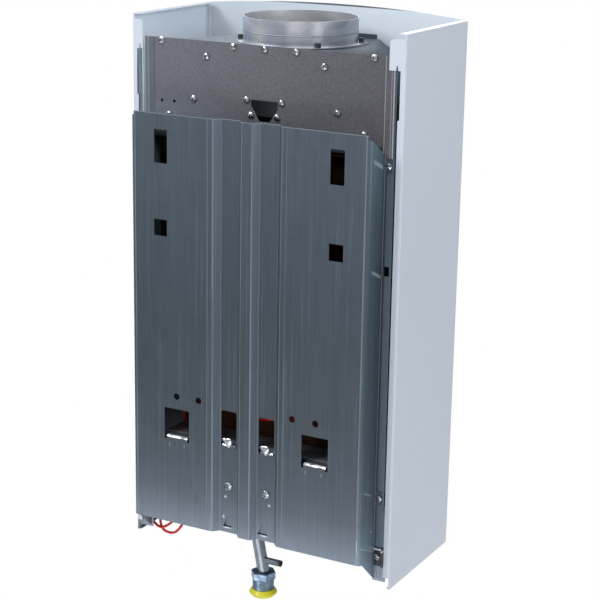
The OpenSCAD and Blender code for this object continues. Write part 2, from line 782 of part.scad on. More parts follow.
burner_t = 1;
hook_back = 14;
module burner_frame() {
    color("lightslategray") difference() {
        union() {
            core_wall(burner_bottom, frame_top, burner_t);
            block(-half_core, half_core, core_back - burner_t, -hook_back, shelf_z, frame_top);
        }
        translate([0, 0, shelf_z - 1]) linear_extrude(height = 5) core_outline(burner_t);
        block(-40, 24, core_front - 1, core_front + 3, 138, frame_top + 1);
    }
}
bar_w = 7;
bar_top = 148;
bar_bottom = 118;
module burner_bars() {
    pitch = (core_w - 34) / (bar_count - 1);
    color("darkgray") for (i = [0 : bar_count - 1])
        translate([-(core_w - 34) / 2 + i * pitch, 0, 0]) {
            across(bar_w) polygon([
                [core_back - burner_t, bar_top], [core_back - burner_t, bar_bottom + 14],
                    [core_y + 14, bar_bottom],
                [core_y - 14, bar_bottom], [core_front + burner_t, bar_bottom + 14],
                    [core_front + burner_t, bar_top]]);
        }
}
manifold_z = 99;
manifold_h = 10;
manifold_w = 16;
module gas_manifold() {
    color("silver") difference() {
        block(-half_core + 9, half_core - 9, core_y - manifold_w / 2, core_y + manifold_w / 2,
            manifold_z, manifold_z + manifold_h);
        block(-half_core + 11, half_core - 11, core_y - manifold_w / 2 + 2, core_y + manifold_w / 2 - 2,
            manifold_z + 2, manifold_z + manifold_h - 2);
    }
}
module injectors() {
    pitch = (core_w - 34) / (bar_count - 1);
    color("goldenrod") for (i = [0 : bar_count - 1])
        translate([-(core_w - 34) / 2 + i * pitch, core_y, manifold_z + manifold_h]) {
            cylinder(d = 8, h = 4, $fn = 6);
            translate([0, 0, 4]) cylinder(d = 5, h = 4);
        }
}

// Ignition pieces in front of the burner

pilot_x = -8;
electrode_x = -26;
thermo_x = 12;
ignition_y = core_front - 8;
module ignition_bracket() {
    color("silver") difference() {
        union() {
            block(electrode_x - 8, thermo_x + 8, core_front - 1.2, core_front, 116, 134);
            block(electrode_x - 8, thermo_x + 8, ignition_y - 8, core_front, 134, 135.2);
        }
        for (p = [[pilot_x, 7], [electrode_x, 6.6], [thermo_x, 4.8]])
            translate([p[0], ignition_y, 130]) cylinder(d = p[1] + 0.1, h = 10);
    }
}
module pilot_burner() {
    color("goldenrod") translate([pilot_x, ignition_y, 0]) difference() {
        union() {
            translate([0, 0, 118]) cylinder(d = 7, h = 27);
            translate([0, 0, 122]) cylinder(d = 10 / cos(30), h = 12, $fn = 6);
        }
        translate([0, 0, 140]) cylinder(d = 4, h = 10);
    }
}
module pilot_tube() {
    color("peru") pipe([[pilot_x, ignition_y, 118], [pilot_x, ignition_y, 76],
        [pilot_x, valve_front, 76]], 8, 2, 1.2);
}
module thermocouple() {
    color("peru") {
        translate([thermo_x, ignition_y, 122]) cylinder(d = 4.8, h = 30);
        translate([thermo_x, ignition_y, 125]) cylinder(d = 8, h = 9);
        pipe([[thermo_x, ignition_y, 122.5], [thermo_x, ignition_y, 70],
            [thermo_x, valve_front, 70]], 8, 1.4, 0.5);
    }
}
module spark_electrode() {
    color("ivory") translate([electrode_x, ignition_y, 0]) {
        translate([0, 0, 122]) cylinder(d = 6.6, h = 24);
        translate([0, 0, 127]) cylinder(d = 9, h = 7);
        translate([0, 0, 145]) cylinder(d = 2, h = 9);
    }
}

// Gas and water valves

valve_top = 89;
valve_front = -140;
valve_back = -84;
valve_left = 46;
valve_right = -28;
pin_z = valve_z;
pin_travel = 3;
cover_screws = [for (a = [45 : 90 : 315]) a];
spindle_r = 5;
module gas_valve_body() {
    color("silver") difference() {
        union() {
            block(valve_right, valve_left, valve_front, valve_back, shelf_top, valve_top);
            translate([gas_riser_x, core_y, valve_top]) cylinder(r = 8, h = manifold_z - valve_top);
        }
        translate([valve_right - 1, water_y, pin_z]) rotate([0, 90, 0]) cylinder(r = 13, h = 50);
        translate([0, water_y, pin_z]) rotate([0, 90, 0]) cylinder(r = 2 + run_gap, h = 60);
        translate([0, valve_front - 1, pin_z]) rotate([-90, 0, 0])
            cylinder(r = spindle_r + run_gap, h = 14);
        translate([gas_riser_x, valve_back + 1, pin_z]) rotate([90, 0, 0])
            cylinder(d = gas_pipe_d - 3, h = 12);
        translate([gas_riser_x, core_y, valve_top - 8]) cylinder(d = 8, h = 30);
    }
}
module gas_valve_cover() {
    color("silver") difference() {
        translate([valve_right - 6, water_y, pin_z]) rotate([0, 90, 0]) cylinder(r = 20, h = 6);
        for (a = cover_screws)
            translate([valve_right - 7, water_y, pin_z]) rotate([a, 0, 0]) translate([0, 16, 0])
                rotate([0, 90, 0]) cylinder(d = 4, h = 9);
    }
}
water_r = 27;
water_body_x = water_x - 12;
water_face_x = water_x + 12;
flow_seat = water_y - water_r - 8;
module water_valve_body() {
    color("darkgoldenrod") difference() {
        union() {
            intersection() {
                translate([water_body_x, water_y, pin_z + 4]) rotate([0, 90, 0])
                    cylinder(r = water_r, h = 24);
                block(0, 200, -300, 0, shelf_top + 6, 200);
            }
            translate([water_x, water_y, shelf_top]) cylinder(r = water_face_x - water_x, h = 14);
            translate([valve_left, water_y, pin_z]) rotate([0, 90, 0])
                cylinder(r = 12, h = water_body_x - valve_left + 1);
            translate([water_x, water_y, pin_z]) rotate([90, 0, 0])
                cylinder(r = 9, h = water_y - flow_seat);
        }
        translate([water_face_x - 8, water_y, pin_z]) rotate([0, 90, 0]) cylinder(r = 18, h = 20);
        translate([valve_left - 1, water_y, pin_z]) rotate([0, 90, 0]) cylinder(r = 2 + run_gap, h = 60);
        translate([water_x, water_y, shelf_top - 1]) cylinder(r = pipe_r - 1, h = 12);
        translate([water_x, flow_seat - 1, pin_z]) rotate([-90, 0, 0])
            cylinder(r = spindle_r + run_gap, h = 14);
    }
}
module water_valve_cover() {
    color("darkgoldenrod") difference() {
        union() {
            translate([water_face_x + 1.5, water_y, pin_z + 4]) rotate([0, 90, 0])
                cylinder(r = water_r, h = 7);
            translate([water_face_x + 8, water_y, pin_z]) rotate([0, 90, 0])
                cylinder(r = 11, h = outlet_x - water_face_x - 8);
        }
        translate([outlet_x - 8, water_y, pin_z]) rotate([0, 90, 0]) cylinder(r = pipe_r - 1, h = 20);
        for (a = cover_screws)
            translate([water_face_x, water_y, pin_z + 4]) rotate([a, 0, 0]) translate([0, 22.5, 0])
                rotate([0, 90, 0]) cylinder(d = 4, h = 20);
    }
}
module diaphragm() {
    color("black") difference() {
        translate([water_face_x, water_y, pin_z + 4]) rotate([0, 90, 0]) cylinder(r = water_r, h = 1.5);
        for (a = cover_screws)
            translate([water_face_x - 1, water_y, pin_z + 4]) rotate([a, 0, 0]) translate([0, 22.5, 0])
                rotate([0, 90, 0]) cylinder(d = 4, h = 6);
    }
}
module diaphragm_plate() {
    color("silver") translate([water_face_x - 3.4, water_y, pin_z]) rotate([0, 90, 0])
        cylinder(r = 13, h = 3);
}
module lift_pin() {
    color("silver") {
        translate([8, water_y, pin_z]) rotate([0, 90, 0]) cylinder(r = 2, h = water_face_x - 3.4 - 8);
        translate([14, water_y, pin_z]) rotate([0, 90, 0]) cylinder(r = 9, h = 4);
    }
}
module valve_screws() {
    color("gainsboro") {
        for (a = cover_screws) {
            translate([valve_right - 6, water_y, pin_z]) rotate([a, 0, 0]) translate([0, 16, 0])
                rotate([0, 0, 90]) pan_screw(6, 2.4, 3.6, 6);
            translate([water_face_x + 8.5, water_y, pin_z + 4]) rotate([a, 0, 0]) translate([0, 22.5, 0])
                rotate([0, 0, -90]) pan_screw(6, 2.4, 3.6, 6.9);
        }
    }
}

// Gas connection

gas_foot = [6, -gas_y, -27];
gas_knee = [gas_riser_x, -gas_y, 26];
spigot_at = 0.72;
spigot_end = [-18.5, -gas_y, -12.2];
function along(a, b, f) = a + (b - a) * f;
function past(a, b, l) = b + unit(b - a) * l;
function toward(a, b, l) = a + unit(b - a) * l;
// The lower length leans, so a straight sleeve joins it to the upper one
module gas_pipe() {
    bore = gas_pipe_d / 2 - 1.5;
    branch = along(gas_knee, gas_foot, spigot_at);
    color("silver") {
        pipe([gas_knee, [gas_riser_x, -gas_y, pin_z],
            [gas_riser_x, valve_back, pin_z]], 15, gas_pipe_d / 2, bore);
        translate(gas_knee - [0, 0, 6]) cylinder(d = gas_pipe_d + 3.4, h = 14);
        tube_leg(gas_foot, gas_knee, gas_pipe_d / 2, bore);
        difference() {
            rod(toward(branch, spigot_end, gas_pipe_d / 2 - 1), spigot_end, 4);
            rod(toward(branch, spigot_end, gas_pipe_d / 2 + 1), past(branch, spigot_end, 1), 2.6);
        }
    }
}
module gas_union_nut() {
    color("silver") translate([gas_riser_x, valve_back, pin_z]) rotate([-90, 0, 0]) difference() {
        cylinder(d = 24 / cos(30), h = 8, $fn = 6);
        translate([0, 0, -1]) cylinder(d = gas_pipe_d + 0.1, h = 12);
    }
}
nut_h = 8.5;
module gas_connection_nut() {
    color("silver") translate([gas_foot[0], -gas_y, gas_foot[2]]) difference() {
        union() {
            intersection() {
                translate([0, 0, -nut_h]) rotate([0, 0, 12])
                    cylinder(d = union_hex / cos(30), h = nut_h, $fn = 6);
                translate([0, 0, -nut_h]) rotate_extrude()
                    polygon([[0, 0], [union_hex / 2 + 0.8, 0], [union_hex, 4], [union_hex, nut_h - 4],
                        [union_hex / 2 + 0.8, nut_h], [0, nut_h]]);
            }
            translate([0, 0, gas_end - gas_foot[2]])
                cylinder(d = gas_thread_d, h = gas_foot[2] - nut_h - gas_end);
        }
        translate([0, 0, gas_end - gas_foot[2] - 1]) cylinder(d = gas_bore_d, h = 13);
        translate([0, 0, gas_end - gas_foot[2]]) cylinder(d = gas_pipe_d - 2.4, h = 60);
        translate([0, 0, -3]) cylinder(d = gas_pipe_d + 2, h = 5);
    }
}
gas_bore_d = 18;
cap_t = 1.6;
cap_h = 9;
module gas_cap() {
    color("yellow") translate([gas_foot[0], -gas_y, gas_end]) difference() {
        union() {
            translate([0, 0, -cap_h]) rotate_extrude()
                polygon([[0, 0], [14, 0], [17, 3.5], [17, 5], [14, cap_h], [0, cap_h]]);
            cylinder(d = gas_bore_d - 2 * run_gap, h = 9);
        }
        translate([0, 0, cap_t - cap_h]) cylinder(d = gas_bore_d - 3.4, h = 30);
    }
}

// Casing

front_in = -(casing_side_depth + front_bow - casing_t);
front_steps = 24;
function front_y(x) = -casing_side_depth - front_bow * (1 - (x / half_casing) * (x / half_casing));
side_in = half_casing - casing_t / 2;
corner_x = half_casing - 6;
front_points = [for (i = [0 : front_steps])
    let (x = corner_x - 2 * corner_x * i / front_steps) [x, front_y(x) + casing_t / 2]];
flange_root = half_casing - 6;
casing_path = concat(
    [[flange_root, -casing_back - casing_t / 2], [side_in, -casing_back - casing_t / 2],
        [side_in, -casing_side_depth + casing_t / 2 + 1]],
    front_points,
    [[-side_in, -casing_side_depth + casing_t / 2 + 1], [-side_in, -casing_back - casing_t / 2],
        [-flange_root, -casing_back - casing_t / 2]]);
casing_bends = concat([2, 5], [for (p = front_points) 0], [5, 2]);

module arch_outline() {
    polygon(concat(
        [for (i = [0 : front_steps]) let (s = 1 - 2 * i / front_steps)
            [s * (half_casing + 1), casing_h + front_arch * (1 - s * s)]],
        [for (i = [0 : front_steps]) let (s = -1 + 2 * i / front_steps)
            [s * (half_casing + 1), -front_drop * (1 - s * s)]]));
}
tab_high = casing_h - 6;
tab_low = tab_high - 33.5;
slot_low = tab_low - 53.5;
flange_low = 14;
// The flange beyond its root: a long strip below, the slot, and the full tab above
module flange_plates(tab_in) {
    strip_in = half_casing - flange_w;
    along_y(-casing_back - casing_t, -casing_back) {
        polygon([[strip_in, flange_low], [flange_root, flange_low], [flange_root, slot_low],
            [strip_in, slot_low]]);
        polygon([[tab_in, tab_low], [flange_root - 5.5, tab_low], [flange_root - 5, tab_low + 5.5],
            [flange_root - 3.5, tab_low + 5.5], [flange_root - 3, tab_low], [flange_root, tab_low],
            [flange_root, tab_high], [tab_in + 4, tab_high], [tab_in + 1.2, tab_high - 1.2],
                [tab_in, tab_high - 4]]);
    }
}
module flange_ends() {
    block(flange_root - 1, side_in - casing_t, -casing_back - 2 * casing_t, 0, -20, flange_low);
    block(flange_root - 1, side_in - casing_t, -casing_back - 2 * casing_t, 0, tab_high, casing_h + 20);
}
hem_w = 9;
knob_z = pin_z;
knob_hole_d = 14;
module front_hole(x, z, d) {
    translate([x, -casing_side_depth - front_bow - 30, z]) rotate([-90, 0, 0]) cylinder(d = d, h = 60);
}
module casing() {
    color("white") difference() {
        union() {
            intersection() {
                translate([0, 0, -20]) linear_extrude(height = casing_h + 60)
                    strip(casing_path, casing_bends, casing_t);
                along_y(-300, 0) arch_outline();
            }
            flange_plates(half_casing - flange_tab_left);
            mirror([1, 0, 0]) flange_plates(half_casing - flange_tab_right);
            both_sides() {
                block(half_casing - hem_w, side_in, -casing_side_depth + 4, -casing_back - 3,
                    casing_h - casing_t, casing_h);
                block(half_casing - 4, side_in, -casing_side_depth + 4, -casing_back - 3, 0, casing_t);
            }
        }
        both_sides() flange_ends();
        front_hole(0, knob_z, knob_hole_d);
        front_hole(water_x, knob_z, knob_hole_d);
        front_hole(-igniter_x, knob_z, button_hole_d);
        front_hole(0, sight_z, sight_d);
    }
}
sight_z = 140;
sight_d = 30;
button_d = 14;
button_hole_d = 17;
fascia_t = 3;
fascia_z = [34, 98];
module control_fascia() {
    steps = 16;
    half = 118;
    outer = [for (i = [0 : steps]) let (x = half - 2 * half * i / steps) [x, front_y(x) - fascia_t]];
    inner = [for (i = [0 : steps]) let (x = -half + 2 * half * i / steps) [x, front_y(x) - gap / 3]];
    color("lightgray") difference() {
        translate([0, 0, fascia_z[0]]) linear_extrude(height = fascia_z[1] - fascia_z[0])
            polygon(concat(outer, inner));
        front_hole(0, knob_z, knob_hole_d);
        front_hole(water_x, knob_z, knob_hole_d);
        front_hole(-igniter_x, knob_z, button_d + 0.8);
    }
}
module sight_glass() {
    color("lightcyan") translate([0, front_in + 0.4, sight_z]) rotate([-90, 0, 0])
        cylinder(d = sight_d + 6, h = 2.5);
}

// Knobs, spindles and the igniter

module knob_form() {
    rotate([90, 0, 0]) difference() {
        union() {
            rotate_extrude() polygon([[0, 0], [knob_d / 2, 0], [knob_d / 2, 5], [knob_d / 2 - 2, 8],
                [knob_d / 2 - 3.5, 17], [knob_d / 2 - 5, 18.5], [0, 18.5]]);
            translate([-3.5, -knob_d / 2 + 4, 10]) cube([7, knob_d - 8, 13]);
        }
        translate([0, 0, -1]) cylinder(r = spindle_r, h = 13);
    }
}
function knob_face(x) = front_y(max(0, x - knob_d / 2)) - fascia_t - 1;
knob_socket = 12;
spindle_in = 12.7;
module power_knob() {
    color("dimgray") translate([0, knob_face(0), knob_z]) knob_form();
}
module temperature_knob() {
    color("dimgray") translate([water_x, knob_face(water_x), knob_z]) knob_form();
}
module spindle(x, seat) {
    translate([x, knob_face(x) - knob_socket, knob_z]) rotate([-90, 0, 0])
        cylinder(r = spindle_r, h = seat + spindle_in + knob_socket - knob_face(x));
}
module power_spindle() {
    color("silver") spindle(0, valve_front);
}
module flow_spindle() {
    color("silver") spindle(water_x, flow_seat);
}
igniter_front = 3 - casing_side_depth;
igniter_back = igniter_front + 65;
stem_r = 5;
module igniter_bracket() {
    color("lightsteelblue") difference() {
        translate([-igniter_x, 0, 0]) across(32)
            strip([[26 - shelf_front, shelf_top + bracket_t / 2],
                [-shelf_front - bracket_t / 2, shelf_top + bracket_t / 2],
                [-shelf_front - bracket_t / 2, knob_z + 18]], [1.5], bracket_t);
        front_hole(-igniter_x, knob_z, 18.1);
        translate([-igniter_x, -shelf_front - 10, knob_z]) rotate([-90, 0, 0]) cylinder(d = 18.1, h = 20);
    }
}
module igniter_body() {
    color("ivory") translate([-igniter_x, igniter_front, knob_z]) rotate([-90, 0, 0]) difference() {
        cylinder(d = 18, h = igniter_back - igniter_front);
        translate([0, 0, -1]) cylinder(r = stem_r + run_gap, h = 33);
    }
}
module igniter_button() {
    color("black") translate([-igniter_x, igniter_front - button_travel - 1, knob_z]) rotate([90, 0, 0]) {
        cylinder(d = button_d, h = 22);
        translate([0, 0, -button_travel - 20]) cylinder(r = stem_r, h = button_travel + 20);
    }
}

// Clips and leads

module casing_clips() {
    color("dimgray") both_sides() difference() {
        translate([0, 0, clip_z - 11.5]) linear_extrude(height = 23)
            strip([[half_plate + 0.1, rail_face + 0.5], [half_plate + tab_w + 4.2, rail_face + 0.5],
                [half_plate + tab_w + 4.2, rail_face + 6]], [0.8], 1);
        translate([tab_screw_x, 0, clip_z]) rotate([90, 0, 0]) cylinder(d = screw_hole_d, h = 60);
    }
}
module clip_screws() {
    color("gainsboro") both_sides()
        translate([tab_screw_x, rail_face + 1, clip_z]) pan_screw(7.8, 3.2, screw_d, 6);
}
sensor_z = 225;
module overheat_sensor() {
    color("black") translate([hot_x, tube_y[3] + pipe_r, sensor_z]) rotate([-90, 0, 0]) {
        cylinder(d = 13, h = 4);
        cylinder(d = 8, h = 9);
    }
}
sensor_face = tube_y[3] + pipe_r + 9;
lead_r = 1.6;
// Both leads run from the sensor, behind the plate, down the left rail and under it to the block
lead_seat = 0.4;
block_foot = 40;
module sensor_lead() {
    color("red") lead([[hot_x - 2, sensor_face + lead_seat, sensor_z], [hot_x - 2, sensor_face + 8, sensor_z],
        [-122, -34, 214], [-90, -28, 200], [-47, -28, 189], [-3, -28, 182], [20, -28, 191], [46, -28, 202],
        [74, -28, 201], [92, -32, 190], [108, -46, 176], [118.5, -58, 155], [120, -60, 125],
        [129, -54, 92], [143, -46, 60], [156, -44, 32], [157, -42, 17], [148, -41, 9], [139, -41, 9],
        [127, -43, 18], [121, -50, 30], [121, -50, block_foot - lead_seat]], lead_r, 4, 8);
}
module limiter_lead() {
    color("red") lead([[hot_x + 2, sensor_face + lead_seat, sensor_z], [hot_x + 2, sensor_face + 8, sensor_z],
        [-116, -33, 221], [-88, -32, 206], [-46, -32, 196], [-2, -32, 189], [22, -32, 198], [50, -32, 209],
        [80, -33, 206], [97, -38, 196], [110, -44, 187], [118.5, -54, 171], [120, -66, 145], [121, -68, 122],
        [129, -61, 95], [138, -52, 60], [147, -47, 26], [143, -44, 6], [129, -44, 2],
        [118, -45, 10], [112, -54, 28], [112, -56, block_foot - lead_seat]], lead_r, 4, 8);
}
module spark_lead() {
    color("red") lead([[electrode_x, ignition_y, 122 - lead_seat], [electrode_x, ignition_y, 110],
        [-38, -176, 92],
        [-56, -142, 88], [-66, -124, 78], [-igniter_x, -124, knob_z + 3],
            [-igniter_x, igniter_back + 4, knob_z],
        [-igniter_x, igniter_back + lead_seat, knob_z]], 2, 4, 8);
}
module lead_block() {
    color("ivory") block(shelf_x1, shelf_x1 + 20, -64, -44, block_foot, block_foot + 16);
}

in_frame() back_plate();
in_frame() side_rail_left();
in_frame() side_rail_right();
in_frame() valve_bracket();
in_frame() plate_screws();
in_frame() hood_back_panel();
in_frame() hood_shell();
in_frame() hood_baffle();
in_frame() hood_screws();
in_frame() flue_collar();
in_frame() collar_screws();
in_frame() spill_sensor_bracket();
in_frame() spill_sensor();
in_frame() exchanger_shell();
in_frame() exchanger_fins();
in_frame() exchanger_tubes();
in_frame() combustion_chamber();
in_frame() chamber_coil();
in_frame() hot_water_pipe();
in_frame() hot_nipple();
in_frame() cold_nipple();
in_frame() burner_frame();
in_frame() burner_bars();
in_frame() gas_manifold();
in_frame() injectors();
in_frame() pilot_burner();
in_frame() pilot_tube();
in_frame() thermocouple();
in_frame() spark_electrode();
in_frame() ignition_bracket();
in_frame() gas_valve_body();
in_frame() gas_valve_cover();
in_frame() water_valve_body();
in_frame() water_valve_cover();
in_frame() diaphragm();
in_frame() diaphragm_plate();
in_frame() lift_pin();
in_frame() valve_screws();
in_frame() gas_pipe();
in_frame() gas_union_nut();
in_frame() gas_connection_nut();
in_frame() gas_cap();
in_frame() power_spindle();
in_frame() power_knob();
in_frame() flow_spindle();
in_frame() temperature_knob();
in_frame() igniter_body();
in_frame() igniter_bracket();
in_frame() igniter_button();
in_frame() casing();
in_frame() control_fascia();
in_frame() sight_glass();
in_frame() casing_clips();
in_frame() clip_screws();
in_frame() overheat_sensor();
in_frame() sensor_lead();
in_frame() limiter_lead();
in_frame() spark_lead();
in_frame() lead_block();
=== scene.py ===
# %% [markdown]
# # A gas water heater, seen from the wall
# This scene dresses a wall-hung gas water heater that stands with its back to us: a pressed wall
# plate, a draught hood with its flue collar, and the white casing wrapped round the front.
# The frame, with every solid in its place, comes from the imported model, so nothing is moved here.
# What is left to make is the light, the camera, the finishes, and the small pieces that only the
# eye needs. The first cell loads the frame.

# %% Load the frame
import math

import bmesh
import bpy
from mathutils import Matrix, Vector


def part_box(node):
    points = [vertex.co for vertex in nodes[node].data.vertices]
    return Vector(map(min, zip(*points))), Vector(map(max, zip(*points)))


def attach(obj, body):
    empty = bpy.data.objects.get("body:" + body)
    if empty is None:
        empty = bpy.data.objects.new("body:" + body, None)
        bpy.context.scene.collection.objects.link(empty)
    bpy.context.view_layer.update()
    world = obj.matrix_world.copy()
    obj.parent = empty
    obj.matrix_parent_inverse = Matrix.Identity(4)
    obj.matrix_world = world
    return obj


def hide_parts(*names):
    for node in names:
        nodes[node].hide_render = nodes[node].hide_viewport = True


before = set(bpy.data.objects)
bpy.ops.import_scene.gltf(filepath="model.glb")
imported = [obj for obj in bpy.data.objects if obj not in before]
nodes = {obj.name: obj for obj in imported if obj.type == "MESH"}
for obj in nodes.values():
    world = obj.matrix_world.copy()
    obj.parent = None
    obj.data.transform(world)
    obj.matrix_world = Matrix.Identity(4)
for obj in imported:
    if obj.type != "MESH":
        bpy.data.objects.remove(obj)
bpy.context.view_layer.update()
print("solids loaded:", len(nodes))

# %% [markdown]
# ## The camera
# The picture was taken from one side, a little above the middle of the heater, with a long lens.
# The place, the aim and the slight roll were solved from edges whose real sizes are known. A
# Track To constraint could aim a camera, but it gives no roll. A camera looks along its own -Z, so
# its three axes are written straight into its matrix instead.

# %% Camera
VIEW_TURN = math.radians(208.360)
VIEW_RISE = math.radians(15.479)
VIEW_ROLL = 0.017225
VIEW_PLACE = Vector((-0.94415, 1.61800, 0.35401))
FOCAL_PIXELS = 1706.8
PICTURE_PIXELS = 600
SENSOR = 36.0


def new_object(name, data):
    """An object that shows some data, linked into the scene."""
    item = bpy.data.objects.new(name, data)
    bpy.context.scene.collection.objects.link(item)
    return item


back = Vector((math.sin(VIEW_TURN) * math.cos(VIEW_RISE),
               -math.cos(VIEW_TURN) * math.cos(VIEW_RISE),
               math.sin(VIEW_RISE)))
level = Vector((math.cos(VIEW_TURN), math.sin(VIEW_TURN), 0))
upright = back.cross(level)
across = level * math.cos(VIEW_ROLL) + upright * math.sin(VIEW_ROLL)
upright = upright * math.cos(VIEW_ROLL) - level * math.sin(VIEW_ROLL)
axes = Matrix((across, upright, back)).transposed().to_4x4()

lens = bpy.data.cameras.new("camera")
lens.sensor_width = SENSOR
lens.lens = FOCAL_PIXELS / PICTURE_PIXELS * SENSOR
camera = new_object("camera", lens)
camera.matrix_world = Matrix.Translation(VIEW_PLACE) @ axes
bpy.context.scene.camera = camera
bpy.context.scene.view_settings.view_transform = "Standard"
print("lens", round(lens.lens, 1), "mm")

# %% [markdown]
# ## Writing shaders as sums
# A material is a graph of nodes, and long graphs are hard to read as calls. A small class wraps one
# output, so that `1 - mask` or `grain * 0.3` adds the Math node that does it. Two helpers make the
# masks that come back most: `near` is a spot or a line round one value, and `within` is a band
# between two.

# %% A wrapper for outputs
def methods(kind):
    """The names of what a class can do, apart from its arithmetic."""
    return ", ".join(name for name in vars(kind) if not name.startswith("_"))


class Wire:
    """One output of a node, with arithmetic that adds Math nodes."""

    def __init__(self, graph, socket):
        self.graph = graph
        self.socket = socket

    def _math(self, operation, *values):
        return self.graph.add("ShaderNodeMath", {"operation": operation}, dict(enumerate(values)))

    def __add__(self, other):
        return self._math("ADD", self, other)

    __radd__ = __add__

    def __mul__(self, other):
        return self._math("MULTIPLY", self, other)

    __rmul__ = __mul__

    def __sub__(self, other):
        return self._math("SUBTRACT", self, other)

    def __rsub__(self, other):
        return self._math("SUBTRACT", other, self)

    def __pow__(self, other):
        return self._math("POWER", self, other)

    def __abs__(self):
        return self._math("ABSOLUTE", self)

    def most(self, other):
        return self._math("MAXIMUM", self, other)

    def sine(self):
        return self._math("SINE", self)

    def cosine(self):
        return self._math("COSINE", self)

    def angle(self, other):
        """The angle of a point whose two distances are self and other, all the way round."""
        return self._math("ARCTAN2", self, other)

    def reach(self, other):
        """How far away a point lies, from its distances along two axes."""
        return (self * self + other * other) ** 0.5

    def between(self, low, high, soft=True):
        """0 at low and 1 at high, with a smooth or a straight slope between them."""
        kind = "SMOOTHSTEP" if soft else "LINEAR"
        return self.graph.add("ShaderNodeMapRange", {"interpolation_type": kind, "clamp": True},
                              {"Value": self, "From Min": low, "From Max": high}, "Result")

    def near(self, place, inner, outer, soft=True):
        """1 up to inner away from a place, and 0 from outer away."""
        return 1 - abs(self - place).between(inner, outer, soft)

    def within(self, low, high, rise, fall=None):
        """1 in a band, with an edge of the width rise at low, and of the width fall at high."""
        return self.between(low, low + rise) * (1 - self.between(high - (fall or rise), high))


print("a wire can also do:", methods(Wire))

# %% [markdown]
# ## One call for every node
# Every other node comes from one method, `add`. It takes the kind of node, its settings, and what
# goes into its sockets, which may be numbers or wires. The world has a graph too, so the method
# lives in a class that materials and the world share.

# %% Graphs
class Graph:
    """A graph of nodes, for the world or a material."""

    def __init__(self, tree):
        self.tree = tree

    def add(self, kind, settings=None, inputs=None, output=0):
        node = self.tree.nodes.new(kind)
        for name, value in (settings or {}).items():
            if name == "stops":
                ramp = node.color_ramp
                while len(ramp.elements) < len(value):
                    ramp.elements.new(0.5)
                for element, (place, colour) in zip(ramp.elements, value):
                    element.position = place
                    element.color = (*colour, 1)
            else:
                setattr(node, name, value)
        for name, value in (inputs or {}).items():
            if isinstance(value, Wire):
                self.tree.links.new(value.socket, node.inputs[name])
            else:
                node.inputs[name].default_value = value
        return Wire(self, node.outputs[output] if len(node.outputs) else None)

    def seen_plainly(self):
        """1 for what the camera sees, directly or through something clear."""
        direct = self.add("ShaderNodeLightPath", output="Is Camera Ray")
        return direct.most(self.add("ShaderNodeLightPath", output="Is Transmission Ray"))


print("a graph can do:", methods(Graph))

# %% [markdown]
# ## A finish is a material with measures
# Patterns could follow UV maps, but solids from a CAD program have none. Every node of the frame
# sits at the origin with its real size, so its object coordinates are metres, and a pattern can be
# placed on them like a mark made with a ruler. The class below adds the nodes that do that.

